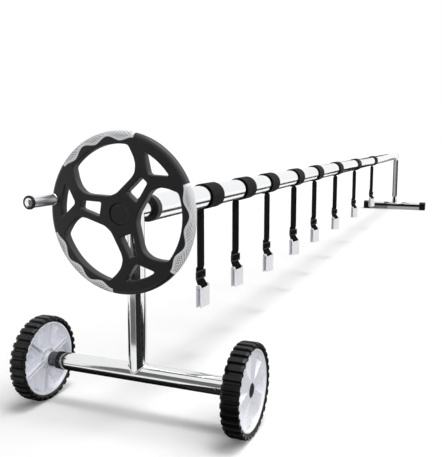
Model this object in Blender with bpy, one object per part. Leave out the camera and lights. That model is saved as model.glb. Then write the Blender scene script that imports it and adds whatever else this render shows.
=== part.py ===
"""Pool cover reel: a long telescoping tube between a wheeled crank stand and a plain rear stand.

The reel runs along X, from the handwheel end (low X) to the rear stand (high X).
Y points to the left as seen from the handwheel, Z is up and the floor is z = 0.
All sizes are in metres.
"""

import math

import bmesh
import bpy
from mathutils import Matrix, Vector

# Driving dimensions of the whole reel
STAND_SPACING = 5.600
REEL_HEIGHT = 0.578
GAP = 0.0003

# Stand tubes and the bearing sleeves on top of the posts
STAND_TUBE_RADIUS = 0.0254
STAND_TUBE_WALL = 0.0018
SLEEVE_OUTER_END = 0.055
SLEEVE_INNER_END = 0.062
SHAFT_RADIUS = 0.0125
SHAFT_RUNNING_GAP = 0.0001
SHAFT_SPIGOT = 0.040

# Front base, axle plugs and wheels
FRONT_BASE_LENGTH = 0.524
PLUG_SPIGOT = 0.035
PLUG_FLANGE_RADIUS = 0.0250
PLUG_FLANGE_THICKNESS = 0.006
PLUG_BOSS_RADIUS = 0.0215
PLUG_BOSS_LENGTH = 0.0225
SPINDLE_RADIUS = 0.0095
WHEEL_RADIUS = 0.125
WHEEL_SIDE_CLEARANCE = 0.004
TYRE_WIDTH = 0.050
TYRE_INNER_RADIUS = 0.1083
TYRE_BEAD_SHARE = 0.80
TREAD_SHARE = 0.70
TREAD_SHOULDER_DROP = 0.003
LUG_COUNT = 32
LUG_HEIGHT = 0.0038
LUG_SHARE = 0.72
GROOVE_RAMP_SHARE = 0.05
RIM_DISC_FACE = 0.016
RIM_DISC_THICKNESS = 0.011
RIM_RING_INNER_RADIUS = 0.100
RIM_RING_DRAFT = 0.003
RIM_HALF_WIDTH = 0.021
RIM_POCKETS = 6
RIM_POCKET_DEPTH = 0.0075
RIM_POCKET_APEX = 0.030
RIM_POCKET_REACH = 0.0955
RIM_POCKET_HALF_ANGLE = 15.0
RIM_POCKET_APEX_ROUND = 0.003
RIM_POCKET_CORNER_ROUND = 0.005
RIM_SPOKE_ANGLE = 18.5
HUB_RADIUS = 0.021
HUB_CAP_RADIUS = 0.019
HUB_CAP_THICKNESS = 0.004
HUB_CAP_RISE = 0.001
HUB_CAP_FLAT_SHARE = 0.8
RIB_THICKNESS = 0.0026
RIB_SPREAD = 0.0075
RIB_BACK_SHARE = 0.75
HUB_RING_RADIUS = 0.045

# Reel tubes
TUBE_RADIUS = 0.038
TUBE_WALL = 0.0016
TUBE_END_FROM_POST = 0.0865
FRONT_SEAM = 1.037
REAR_SEAM = 3.290
SEAM_SPIGOT = 0.060
SLIDE_GAP = 0.0004
SLIDE_OVERLAP = 0.600
END_PLUG_SPIGOT = 0.050
SCREW_RADIUS = 0.0024
SCREW_HEAD_RADIUS = 0.0045
SCREW_HEAD_HEIGHT = 0.0024
SCREW_HEAD_DOME = ((0.85, 0.7), (0.45, 1.0), (0.0, 1.0))
SHAFT_END_RECESS = 0.002
SEAM_SCREW_FROM_SEAM = 0.010
SEAM_SCREW_ANGLE = 12.0

# Handwheel: angles and flat shapes are as seen from the front, right is -Y and up is Z
HANDWHEEL_RADIUS = 0.213
HANDWHEEL_THICKNESS = 0.027
HANDWHEEL_BACK_GAP = 0.001
HANDWHEEL_EDGE_ROUND = 0.012
HANDWHEEL_CHAMFER = 0.0025
SPOKE_ANGLES = (50.0, 170.0, 290.0)
INSERT_ANGLES = (110.0, 230.0, 350.0)
INSERT_SPAN = 67.0
INSERT_INNER_RADIUS = 0.1935
INSERT_WAVE = 0.0060
INSERT_LOBES = 3
WINDOW_OUTER_RADIUS = 0.180
WINDOW_HALF_ANGLE = 29.5
WINDOW_SIDE = ((0.1256, 0.0930), (0.1045, 0.0915), (0.0850, 0.0815), (0.0760, 0.0680), (0.0530, 0.0120))
SPOKE_SLOT = ((0.057, -0.0195), (0.117, -0.0115), (0.117, 0.0115), (0.057, 0.0195))
SPOKE_SLOT_ROUND = 0.005
FORK_WINDOW_RADIUS = 0.177
FORK_WINDOW_HALF_ANGLE = 15.5
FORK_WINDOW_TIP = ((0.1375, 0.004), (0.1375, -0.004))
HUB_BOLT_CAP_RADIUS = 0.029
HUB_BOLT_CAP_RECESS = 0.0035
HUB_BOLT_CAP_THICKNESS = 0.006
HUB_BOLT_CAP_EDGE = 0.0015

# Crank handle
CRANK_OFFSET_Y = 0.1985
CRANK_OFFSET_Z = 0.032
SOCKET_RADIUS = 0.0165
SOCKET_DEPTH = 0.021
SOCKET_PROUD = 0.0095
SOCKET_EDGE = 0.002
CRANK_SPINDLE_RADIUS = 0.006
GRIP_RADIUS = 0.0155
GRIP_LENGTH = 0.088
GRIP_END_WALL = 0.006
GRIP_RING_RADIUS = 0.018
GRIP_RING_BORE = 0.0125
GRIP_RING_THICKNESS = 0.0065
GRIP_RING_EDGE = 0.0015
GRIP_CAP_DOME = 0.0025
GRIP_CAP_CURVE = ((0.75, 0.5), (0.4, 0.85))

# Straps: distance of each one behind the front post, how far its webbing hangs to the left,
# and how many degrees the webbing has turned about its own upright line
STRAP_PLACES = (0.487, 0.825, 1.136, 1.562, 1.982, 2.524, 3.182, 3.980)
STRAP_HANG_OFFSETS = (0.026, 0.027, 0.0, 0.0, 0.0, 0.0, 0.0, 0.0)
STRAP_TURNS = (5.0, 10.0, 10.0, 17.0, 16.0, 19.0, 19.0, 21.0)
BAND_WIDTH = 0.100
BAND_THICKNESS = 0.0040
WEB_ROOT_SHARE = 0.6
WEB_WIDTH = 0.050
WEB_THICKNESS = 0.0020
WEB_STRAIGHT_START = 0.020
WEB_TURN_LENGTH = 0.060
WEB_TURN_STEPS = 3
BUCKLE_ABOVE_LOOP = 0.041
BUCKLE_WIDTH = 0.066
BUCKLE_TALL = 0.030
BUCKLE_THICKNESS = 0.008
LOOP_HEIGHT_ABOVE_FLOOR = 0.262
LOOP_LEAN = 0.008
TAB_WIDTH = 0.066
TAB_DROP = 0.080
TAB_THICKNESS = 0.018
TAB_WALL = 0.0024
TAB_BAR_RADIUS = 0.0030
TAB_SLOT_CLEARANCE = 0.0015

# Rear stand
REAR_BASE_RADIUS = 0.038
REAR_BASE_WALL = 0.0020
REAR_BASE_LENGTH = 0.646
FOOT_CAP_LENGTH = 0.057
FOOT_CAP_WALL = 0.003
FOOT_CAP_CORNER = 0.022
FOOT_CAP_END_WALL = 0.004

# Facet counts of round pieces
TUBE_SIDES = 24
BAND_SIDES = 20
SMALL_SIDES = 12
RIM_SIDES = 24
HANDWHEEL_SIDES = 48
EDGE_STEPS = 3
WINDOW_STEPS = 8
INSERT_STEPS = 15
TAB_FOLD_STEPS = 6
CORNER_STEPS = 2

# How far cutting tools run past what they cut, and how far joined shapes sink in
CUT_PAST = 0.010
JOIN_DEPTH = 0.001
PLATE_OVERSIZE = 0.00002

# Worked out from the sizes above
LUG_PITCH = 2.0 * math.pi / LUG_COUNT
LUG_HALF_ANGLE = LUG_PITCH * LUG_SHARE / 2.0
AXLE_HEIGHT = WHEEL_RADIUS * math.cos(LUG_HALF_ANGLE)
HANDWHEEL_BACK = -(SLEEVE_OUTER_END + HANDWHEEL_BACK_GAP)
HANDWHEEL_FRONT = HANDWHEEL_BACK - HANDWHEEL_THICKNESS
SOCKET_FACE = HANDWHEEL_FRONT - SOCKET_PROUD
GRIP_START = SOCKET_FACE - GAP
GRIP_END = GRIP_START - GRIP_LENGTH
RING_START = GRIP_END - GAP
RING_END = RING_START - GRIP_RING_THICKNESS
CRANK_TIP = RING_END - GRIP_CAP_DOME
REEL_LOW_X = CRANK_TIP
REEL_HIGH_X = STAND_SPACING + SLEEVE_OUTER_END
FRONT_POST_X = -(REEL_LOW_X + REEL_HIGH_X) / 2.0
REAR_TUBE_RADIUS = TUBE_RADIUS - TUBE_WALL - SLIDE_GAP
REAR_BASE_HEIGHT = REAR_BASE_RADIUS + GAP + FOOT_CAP_WALL
FOOT_CAP_HALF = REAR_BASE_RADIUS + GAP + FOOT_CAP_WALL
PLUG_FLANGE_START = SLEEVE_INNER_END + 3.0 * GAP
AXLE_PLUG_BOSS_END = FRONT_BASE_LENGTH / 2.0 + GAP + PLUG_FLANGE_THICKNESS + PLUG_BOSS_LENGTH
WHEEL_INNER_FACE = AXLE_PLUG_BOSS_END + GAP
WHEEL_MIDDLE = WHEEL_INNER_FACE + TYRE_WIDTH / 2.0 + WHEEL_SIDE_CLEARANCE
RIM_DISC_BACK = RIM_DISC_FACE - RIM_DISC_THICKNESS
HUB_BOLT_CAP_FRONT = HANDWHEEL_FRONT + HUB_BOLT_CAP_RECESS
HUB_BOLT_CAP_BACK = HUB_BOLT_CAP_FRONT + HUB_BOLT_CAP_THICKNESS
HANDWHEEL_SECTOR = 360.0 / len(SPOKE_ANGLES)
BUCKLE_HEIGHT_ABOVE_FLOOR = LOOP_HEIGHT_ABOVE_FLOOR + BUCKLE_ABOVE_LOOP
LOOP_INNER_RADIUS = (TAB_BAR_RADIUS + GAP) / math.cos(math.pi / SMALL_SIDES)
LOOP_OUTER_RADIUS = LOOP_INNER_RADIUS + WEB_THICKNESS

COLOURS = {
    "reel_aluminium": ((0.82, 0.83, 0.85), 0.18, 1.0),
    "stand_steel": ((0.78, 0.79, 0.81), 0.20, 1.0),
    "shaft_steel": ((0.62, 0.63, 0.65), 0.35, 1.0),
    "chromed_plastic": ((0.80, 0.81, 0.83), 0.12, 1.0),
    "black_plastic": ((0.024, 0.024, 0.027), 0.45, 0.0),
    "dark_plastic": ((0.010, 0.010, 0.011), 0.50, 0.0),
    "grey_plastic": ((0.16, 0.17, 0.18), 0.50, 0.0),
    "silver_grip": ((0.70, 0.71, 0.74), 0.45, 0.3),
    "white_plastic": ((0.78, 0.79, 0.83), 0.40, 0.0),
    "tyre_rubber": ((0.008, 0.008, 0.009), 0.70, 0.0),
    "webbing": ((0.006, 0.006, 0.007), 0.85, 0.0),
}


def clear_scene():
    """Remove every object that the scene starts with."""
    for old in list(bpy.data.objects):
        bpy.data.objects.remove(old, do_unlink=True)


def get_material(name):
    """Return the named material, making it the first time."""
    found = bpy.data.materials.get(name)
    if found:
        return found
    colour, roughness, metallic = COLOURS[name]
    made = bpy.data.materials.new(name)
    made.use_nodes = True
    shader = made.node_tree.nodes["Principled BSDF"]
    shader.inputs["Base Color"].default_value = (*colour, 1.0)
    shader.inputs["Roughness"].default_value = roughness
    shader.inputs["Metallic"].default_value = metallic
    return made


def add_object(name, bm, material=None, pivot=(0.0, 0.0, 0.0)):
    """Turn a bmesh in world coordinates into an object whose origin is at pivot."""
    bmesh.ops.remove_doubles(bm, verts=bm.verts, dist=1e-6)
    bmesh.ops.recalc_face_normals(bm, faces=bm.faces)
    bmesh.ops.translate(bm, verts=bm.verts, vec=-Vector(pivot))
    mesh = bpy.data.meshes.new(name)
    bm.to_mesh(mesh)
    bm.free()
    obj = bpy.data.objects.new(name, mesh)
    obj.location = pivot
    bpy.context.scene.collection.objects.link(obj)
    if material:
        mesh.materials.append(get_material(material))
        mesh.shade_smooth()
        mesh.set_sharp_from_angle(angle=math.radians(35.0))
    return obj


def combine(target, tool, operation):
    """Apply one Boolean to target and remove the tool."""
    modifier = target.modifiers.new("cut", "BOOLEAN")
    modifier.object = tool
    modifier.operation = operation
    modifier.solver = "EXACT"
    depsgraph = bpy.context.evaluated_depsgraph_get()
    result = bpy.data.meshes.new_from_object(target.evaluated_get(depsgraph))
    target.modifiers.clear()
    old_mesh = target.data
    target.data = result
    target.data.name = target.name
    bpy.data.meshes.remove(old_mesh)
    bpy.data.objects.remove(tool, do_unlink=True)
    return target


def axis_matrix(axis, centre):
    """Matrix that takes a shape built around Z to the given world axis and centre."""
    turns = {
        "X": Matrix.Rotation(math.radians(90.0), 4, "Y"),
        "Y": Matrix.Rotation(math.radians(-90.0), 4, "X"),
        "Z": Matrix.Identity(4),
    }
    return Matrix.Translation(Vector(centre)) @ turns[axis]


def turned_bmesh(profile, axis, centre, sides):
    """Revolve a closed profile of (radius, distance along the axis) points, with flats square to the axes."""
    bm = bmesh.new()
    start = math.pi / sides
    verts = []
    for radius, along in profile:
        point = (radius * math.cos(start), radius * math.sin(start), along)
        verts.append(bm.verts.new(point))
    on_axis = profile[0][0] < 1e-9 and profile[-1][0] < 1e-9
    edges = [bm.edges.new(pair) for pair in zip(verts, verts[1:])]
    if not on_axis:
        edges.append(bm.edges.new((verts[-1], verts[0])))
    bmesh.ops.spin(bm, geom=verts + edges, cent=(0, 0, 0), axis=(0, 0, 1),
                   angle=2.0 * math.pi, steps=sides, use_duplicate=False)
    bmesh.ops.remove_doubles(bm, verts=bm.verts, dist=1e-6)
    bmesh.ops.transform(bm, matrix=axis_matrix(axis, centre), verts=bm.verts)
    return bm


def turned(name, profile, axis, centre, material=None, sides=TUBE_SIDES, pivot=None):
    """Revolved object; its origin is at centre unless a pivot is given."""
    bm = turned_bmesh(profile, axis, centre, sides)
    return add_object(name, bm, material, centre if pivot is None else pivot)


def pipe_profile(outer, inner, start, end):
    """Profile of a plain tube."""
    return [(outer, start), (outer, end), (inner, end), (inner, start)]


def rod_profile(radius, start, end):
    """Profile of a solid rod."""
    return [(0.0, start), (radius, start), (radius, end), (0.0, end)]


def rod_tool(axis, centre, radius, start, end, sides=SMALL_SIDES):
    """Cylinder used to cut or join, without a material."""
    return turned("tool", rod_profile(radius, start, end), axis, centre, None, sides)


def box_bmesh(low, high):
    """Box between two corners."""
    bm = bmesh.new()
    bmesh.ops.create_cube(bm, size=1.0)
    low = Vector(low)
    high = Vector(high)
    size = high - low
    bmesh.ops.scale(bm, vec=size, verts=bm.verts)
    bmesh.ops.translate(bm, vec=(low + high) / 2.0, verts=bm.verts)
    return bm


def prism_bmesh(outline, start, end, matrix):
    """Extrude a flat outline along local Z from start to end, then place it."""
    bm = bmesh.new()
    face = bm.faces.new([bm.verts.new((x, y, start)) for x, y in outline])
    made = bmesh.ops.extrude_face_region(bm, geom=[face])
    moved = [item for item in made["geom"] if isinstance(item, bmesh.types.BMVert)]
    bmesh.ops.translate(bm, verts=moved, vec=(0.0, 0.0, end - start))
    bmesh.ops.transform(bm, matrix=matrix, verts=bm.verts)
    return bm


def polar(radius, degrees):
    """Point on a circle."""
    angle = math.radians(degrees)
    return (radius * math.cos(angle), radius * math.sin(angle))


def rounded(points, radii, steps=CORNER_STEPS):
    """Replace each corner of a polygon by an arc of the given radius."""
    outline = []
    count = len(points)
    for index in range(count):
        corner = Vector(points[index])
        before = (Vector(points[index - 1]) - corner).normalized()
        after = (Vector(points[(index + 1) % count]) - corner).normalized()
        radius = radii[index] if isinstance(radii, (list, tuple)) else radii
        if radius <= 0.0:
            outline.append(tuple(corner))
            continue
        half = before.angle(after) / 2.0
        reach = radius / math.tan(half)
        centre = corner + (before + after).normalized() * (radius / math.sin(half))
        first = corner + before * reach - centre
        last = corner + after * reach - centre
        sweep = first.angle_signed(last)
        for step in range(steps + 1):
            turn = Matrix.Rotation(-sweep * step / steps, 2)
            outline.append(tuple(centre + turn @ first))
    return outline


def arc(radius, start, end, steps):
    """Points along an arc, both ends included."""
    return [polar(radius, start + (end - start) * i / steps) for i in range(steps + 1)]


def rotate_outline(points, degrees):
    """Turn flat points about the origin."""
    turn = Matrix.Rotation(math.radians(degrees), 2)
    return [tuple(turn @ Vector(point)) for point in points]


def world(x, y=0.0, z=0.0):
    """World point from a distance behind the front post."""
    return (FRONT_POST_X + x, y, z)


def stand_post(name, x, base_radius, base_height):
    """Vertical tube, coped round the base tube below and the sleeve above."""
    profile = pipe_profile(STAND_TUBE_RADIUS, STAND_TUBE_RADIUS - STAND_TUBE_WALL, base_height, REEL_HEIGHT)
    post = turned(name, profile, "Z", world(x), "stand_steel", TUBE_SIDES)
    reach = STAND_TUBE_RADIUS + CUT_PAST
    lower = rod_tool("Y", world(x, 0.0, base_height), base_radius + GAP, -reach, reach, TUBE_SIDES)
    combine(post, lower, "DIFFERENCE")
    upper = rod_tool("X", world(x, 0.0, REEL_HEIGHT), STAND_TUBE_RADIUS + GAP, -reach, reach, TUBE_SIDES)
    return combine(post, upper, "DIFFERENCE")


def sleeve(name, x, low, high):
    """Short bearing tube across the top of a post, bored for the shaft."""
    bore = (SHAFT_RADIUS + SHAFT_RUNNING_GAP) / math.cos(math.pi / TUBE_SIDES)
    profile = pipe_profile(STAND_TUBE_RADIUS, bore, low, high)
    return turned(name, profile, "X", world(x, 0.0, REEL_HEIGHT), "stand_steel")


def along_direction(bm, centre, direction):
    """Turn a shape built along Z towards a direction and move it to a centre."""
    turn = Vector((0, 0, 1)).rotation_difference(Vector(direction)).to_matrix().to_4x4()
    bmesh.ops.transform(bm, matrix=Matrix.Translation(Vector(centre)) @ turn, verts=bm.verts)
    return bm


def screw(name, centre, direction, seat, depth):
    """Round-headed screw: the head sits at radius seat, the shank reaches in to radius depth."""
    profile = [
        (0.0, depth),
        (SCREW_RADIUS, depth),
        (SCREW_RADIUS, seat),
        (SCREW_HEAD_RADIUS, seat),
    ]
    profile += [(SCREW_HEAD_RADIUS * wide, seat + SCREW_HEAD_HEIGHT * high) for wide, high in SCREW_HEAD_DOME]
    bm = along_direction(turned_bmesh(profile, "Z", (0, 0, 0), SMALL_SIDES), centre, direction)
    return add_object(name, bm, "shaft_steel", centre)


def drill(target, centre, direction, start, end):
    """Clearance hole for a screw."""
    profile = rod_profile(SCREW_RADIUS + GAP, start, end)
    bm = along_direction(turned_bmesh(profile, "Z", (0, 0, 0), SMALL_SIDES), centre, direction)
    return combine(target, add_object("tool", bm), "DIFFERENCE")


def front_stand():
    """Axle base with its plugs and screws, post and bearing sleeve."""
    half = FRONT_BASE_LENGTH / 2.0
    inner = STAND_TUBE_RADIUS - STAND_TUBE_WALL
    centre = world(0.0, 0.0, AXLE_HEIGHT)
    base_profile = pipe_profile(STAND_TUBE_RADIUS, inner, -half, half)
    base = turned("front_base_tube", base_profile, "Y", centre, "stand_steel")
    spigot = inner - 2.0 * GAP
    flange_end = AXLE_PLUG_BOSS_END - PLUG_BOSS_LENGTH
    spindle_end = WHEEL_MIDDLE + RIM_DISC_FACE - HUB_CAP_THICKNESS - GAP
    plug_profile = [
        (0.0, half - PLUG_SPIGOT),
        (spigot, half - PLUG_SPIGOT),
        (spigot, half + GAP),
        (PLUG_FLANGE_RADIUS, half + GAP),
        (PLUG_FLANGE_RADIUS, flange_end),
        (PLUG_BOSS_RADIUS, flange_end),
        (PLUG_BOSS_RADIUS, AXLE_PLUG_BOSS_END),
        (SPINDLE_RADIUS, AXLE_PLUG_BOSS_END),
        (SPINDLE_RADIUS, spindle_end),
        (0.0, spindle_end),
    ]
    towards_front = (-1.0, 0.0, 0.0)
    screw_tip = spigot / 2.0
    past = STAND_TUBE_RADIUS + CUT_PAST
    for side, label in ((1.0, "left"), (-1.0, "right")):
        mirrored = [(radius, side * along) for radius, along in plug_profile]
        plug = turned("axle_plug_" + label, mirrored, "Y", centre, "grey_plastic")
        screw_centre = world(0.0, side * (half - PLUG_SPIGOT / 2.0), AXLE_HEIGHT)
        drill(base, screw_centre, towards_front, screw_tip, past)
        drill(plug, screw_centre, towards_front, screw_tip - GAP, past)
        screw("axle_screw_" + label, screw_centre, towards_front, STAND_TUBE_RADIUS + GAP, screw_tip)
    stand_post("front_post", 0.0, STAND_TUBE_RADIUS, AXLE_HEIGHT)
    sleeve("front_sleeve", 0.0, -SLEEVE_OUTER_END, SLEEVE_INNER_END)


def tyre(name, centre):
    """Tyre whose tread is cut by narrow cross grooves into block lugs."""
    half = TYRE_WIDTH / 2.0
    shoulder = WHEEL_RADIUS - TREAD_SHOULDER_DROP
    section = [
        (TYRE_INNER_RADIUS, -half * TYRE_BEAD_SHARE, 0.0),
        (shoulder, -half, 1.0),
        (WHEEL_RADIUS, -half * TREAD_SHARE, 1.0),
        (WHEEL_RADIUS, half * TREAD_SHARE, 1.0),
        (shoulder, half, 1.0),
        (TYRE_INNER_RADIUS, half * TYRE_BEAD_SHARE, 0.0),
    ]
    ramp = LUG_PITCH * GROOVE_RAMP_SHARE
    stations = []
    for lug in range(LUG_COUNT):
        middle = -math.pi / 2.0 + lug * LUG_PITCH
        edge = middle + LUG_HALF_ANGLE
        next_edge = middle + LUG_PITCH - LUG_HALF_ANGLE
        stations.append((middle - LUG_HALF_ANGLE, 0.0))
        stations.append((edge, 0.0))
        stations.append((edge + ramp, LUG_HEIGHT))
        stations.append((next_edge - ramp, LUG_HEIGHT))
    bm = bmesh.new()
    rings = []
    for angle, cut in stations:
        ring = []
        for radius, along, share in section:
            reach = radius - cut * share
            point = (reach * math.cos(angle), along, reach * math.sin(angle))
            ring.append(bm.verts.new(Vector(point) + Vector(centre)))
        rings.append(ring)
    for ring, following in zip(rings, rings[1:] + rings[:1]):
        for index in range(len(section)):
            next_index = (index + 1) % len(section)
            bm.faces.new((ring[index], ring[next_index], following[next_index], following[index]))
    return add_object(name, bm, "tyre_rubber", centre)


def rim_pockets(body, flat, outward):
    """Cut the triangular pockets between the spokes of a rim's outer face."""
    corners = [
        (RIM_POCKET_APEX, 0.0),
        polar(RIM_POCKET_REACH, -RIM_POCKET_HALF_ANGLE),
        polar(RIM_POCKET_REACH, RIM_POCKET_HALF_ANGLE),
    ]
    rounds = (RIM_POCKET_APEX_ROUND, RIM_POCKET_CORNER_ROUND, RIM_POCKET_CORNER_ROUND)
    pocket = rounded(corners, rounds)
    floor = RIM_DISC_FACE - RIM_POCKET_DEPTH
    ends = sorted((-outward * floor, -outward * (RIM_HALF_WIDTH + CUT_PAST)))
    pitch = 360.0 / RIM_POCKETS
    for index in range(RIM_POCKETS):
        outline = rotate_outline(pocket, RIM_SPOKE_ANGLE + (index + 0.5) * pitch)
        cutter = add_object("tool", prism_bmesh(outline, ends[0], ends[1], flat))
        combine(body, cutter, "DIFFERENCE")


def rim_ribs(body, flat, centre, outward):
    """Join the rib pairs and the hub ring to the hollow inner side of a rim."""
    rib_back = -RIM_HALF_WIDTH * RIB_BACK_SHARE
    rib_front = RIM_DISC_BACK + JOIN_DEPTH
    ends = sorted((-outward * rib_back, -outward * rib_front))
    half_rib = RIB_THICKNESS / 2.0
    start = HUB_RADIUS - RIB_THICKNESS
    reach = RIM_RING_INNER_RADIUS + RIM_RING_DRAFT / 2.0
    pitch = 360.0 / RIM_POCKETS
    for index in range(RIM_POCKETS):
        for offset in (-RIB_SPREAD, RIB_SPREAD):
            strip = [
                (start, offset - half_rib),
                (reach, offset - half_rib),
                (reach, offset + half_rib),
                (start, offset + half_rib),
            ]
            outline = rotate_outline(strip, RIM_SPOKE_ANGLE + index * pitch)
            rib = add_object("tool", prism_bmesh(outline, ends[0], ends[1], flat))
            combine(body, rib, "UNION")
    ring_outer = HUB_RING_RADIUS + RIB_THICKNESS
    ring = pipe_profile(ring_outer, HUB_RING_RADIUS, outward * rib_back, outward * rib_front)
    return combine(body, turned("tool", ring, "Y", centre, None, RIM_SIDES), "UNION")


def rim(name, centre, outward):
    """Moulded rim: pocketed disc outside, ribs and hub ring inside."""
    outer = TYRE_INNER_RADIUS - 2.0 * GAP
    bore = (SPINDLE_RADIUS + GAP) / math.cos(math.pi / RIM_SIDES)
    hub_back = WHEEL_INNER_FACE - WHEEL_MIDDLE
    cap_seat = RIM_DISC_FACE - HUB_CAP_THICKNESS
    profile = [
        (bore, hub_back),
        (HUB_RADIUS, hub_back),
        (HUB_RADIUS, RIM_DISC_BACK),
        (RIM_RING_INNER_RADIUS, RIM_DISC_BACK),
        (RIM_RING_INNER_RADIUS + RIM_RING_DRAFT, -RIM_HALF_WIDTH),
        (outer, -RIM_HALF_WIDTH),
        (outer, RIM_HALF_WIDTH),
        (RIM_RING_INNER_RADIUS + RIM_RING_DRAFT, RIM_HALF_WIDTH),
        (RIM_RING_INNER_RADIUS, RIM_DISC_FACE),
        (HUB_CAP_RADIUS + GAP, RIM_DISC_FACE),
        (HUB_CAP_RADIUS + GAP, cap_seat),
        (bore, cap_seat),
    ]
    facing = [(radius, outward * along) for radius, along in profile]
    body = turned(name, facing, "Y", centre, "white_plastic", RIM_SIDES)
    flat = Matrix.Translation(Vector(centre)) @ Matrix.Rotation(math.radians(90.0), 4, "X")
    rim_pockets(body, flat, outward)
    return rim_ribs(body, flat, centre, outward)


def wheels():
    """Left and right wheels, each a rim, a tyre and a hub cap."""
    seat = RIM_DISC_FACE - HUB_CAP_THICKNESS + GAP
    cap_profile = [
        (0.0, seat),
        (HUB_CAP_RADIUS - GAP, seat),
        (HUB_CAP_RADIUS - GAP, RIM_DISC_FACE),
        (HUB_CAP_RADIUS * HUB_CAP_FLAT_SHARE, RIM_DISC_FACE + HUB_CAP_RISE),
        (0.0, RIM_DISC_FACE + HUB_CAP_RISE),
    ]
    for side, label in ((1.0, "left"), (-1.0, "right")):
        centre = world(0.0, side * WHEEL_MIDDLE, AXLE_HEIGHT)
        rim("wheel_" + label + "_rim", centre, side)
        tyre("wheel_" + label + "_tyre", centre)
        cap = [(radius, side * along) for radius, along in cap_profile]
        turned("wheel_" + label + "_cap", cap, "Y", centre, "dark_plastic", SMALL_SIDES)


def handwheel_matrix(x):
    """Places a flat drawing seen from the front (right is -Y, up is Z) at x."""
    frame = Matrix(((0.0, 0.0, -1.0), (-1.0, 0.0, 0.0), (0.0, 1.0, 0.0))).to_4x4()
    return Matrix.Translation(Vector(world(x, 0.0, REEL_HEIGHT))) @ frame


def insert_inner_radius(offset_degrees):
    """Wavy inner edge of a grip insert, by the angle from the insert's middle."""
    phase = 2.0 * math.pi * INSERT_LOBES * offset_degrees / INSERT_SPAN
    return INSERT_INNER_RADIUS - INSERT_WAVE * math.cos(phase)


def insert_outline(clearance):
    """Outline of a grip insert about 0 degrees, shrunk by the clearance."""
    trim = math.degrees(clearance / HANDWHEEL_RADIUS)
    half = INSERT_SPAN / 2.0 - trim
    inner = []
    for index in range(INSERT_STEPS + 1):
        offset = half - 2.0 * half * index / INSERT_STEPS
        inner.append(polar(insert_inner_radius(offset) + clearance, offset))
    outer = arc(HANDWHEEL_RADIUS + CUT_PAST, -half, half, WINDOW_STEPS)
    return outer + inner


def rounded_disc(name, material):
    """Disc with a round edge, the envelope of the handwheel's rim."""
    half = HANDWHEEL_THICKNESS / 2.0
    edge = HANDWHEEL_EDGE_ROUND
    edge_middle = HANDWHEEL_RADIUS - edge
    quarter = [math.radians(90.0 * step / EDGE_STEPS) for step in range(EDGE_STEPS + 1)]
    profile = [(0.0, -half)]
    for turn in reversed(quarter):
        profile.append((edge_middle + edge * math.cos(turn), -(half - edge + edge * math.sin(turn))))
    for turn in quarter:
        profile.append((edge_middle + edge * math.cos(turn), half - edge + edge * math.sin(turn)))
    profile.append((0.0, half))
    middle = world(HANDWHEEL_BACK - half, 0.0, REEL_HEIGHT)
    return turned(name, profile, "X", middle, material, HANDWHEEL_SIDES, world(0.0, 0.0, REEL_HEIGHT))


def big_window():
    """Large opening between two spokes, drawn about 0 degrees."""
    top = arc(WINDOW_OUTER_RADIUS, -WINDOW_HALF_ANGLE, WINDOW_HALF_ANGLE, WINDOW_STEPS)
    return top + list(WINDOW_SIDE) + [(x, -y) for x, y in reversed(WINDOW_SIDE)]


def spoke_windows():
    """Slot and forked outer opening of one spoke, drawn about 0 degrees."""
    slot = rounded(SPOKE_SLOT, SPOKE_SLOT_ROUND)
    rim_side = arc(FORK_WINDOW_RADIUS, -FORK_WINDOW_HALF_ANGLE, FORK_WINDOW_HALF_ANGLE, WINDOW_STEPS // 2)
    return slot, list(FORK_WINDOW_TIP) + rim_side


def plate_from_outlines(name, outlines, thickness, chamfer, matrix):
    """Flat plate with holes and softened edges, from a filled curve."""
    curve = bpy.data.curves.new(name, "CURVE")
    curve.dimensions = "2D"
    curve.fill_mode = "BOTH"
    curve.extrude = thickness / 2.0 - chamfer
    curve.bevel_depth = chamfer
    curve.bevel_resolution = 0
    curve.offset = -chamfer
    for outline in outlines:
        spline = curve.splines.new("POLY")
        spline.points.add(len(outline) - 1)
        for point, (x, y) in zip(spline.points, outline):
            point.co = (x, y, 0.0, 1.0)
        spline.use_cyclic_u = True
    holder = bpy.data.objects.new(name, curve)
    bpy.context.scene.collection.objects.link(holder)
    depsgraph = bpy.context.evaluated_depsgraph_get()
    mesh = bpy.data.meshes.new_from_object(holder.evaluated_get(depsgraph))
    bpy.data.objects.remove(holder, do_unlink=True)
    bm = bmesh.new()
    bm.from_mesh(mesh)
    bpy.data.meshes.remove(mesh)
    bmesh.ops.transform(bm, matrix=matrix, verts=bm.verts)
    return add_object(name, bm)


def handwheel_outlines():
    """Flat drawing of the handwheel: its edge with the insert seats, then its openings."""
    edge = []
    half = INSERT_SPAN / 2.0
    bare = (HANDWHEEL_SECTOR - INSERT_SPAN) / 2.0
    for spoke, insert in zip(SPOKE_ANGLES, INSERT_ANGLES):
        edge += arc(HANDWHEEL_RADIUS + CUT_PAST, spoke - bare, spoke + bare, WINDOW_STEPS)
        for index in range(INSERT_STEPS + 1):
            offset = -half + index * INSERT_SPAN / INSERT_STEPS
            edge.append(polar(insert_inner_radius(offset), insert + offset))
    outlines = [edge]
    for angle in SPOKE_ANGLES:
        outlines += [rotate_outline(opening, angle) for opening in spoke_windows()]
    outlines += [rotate_outline(big_window(), angle) for angle in INSERT_ANGLES]
    return outlines


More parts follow.
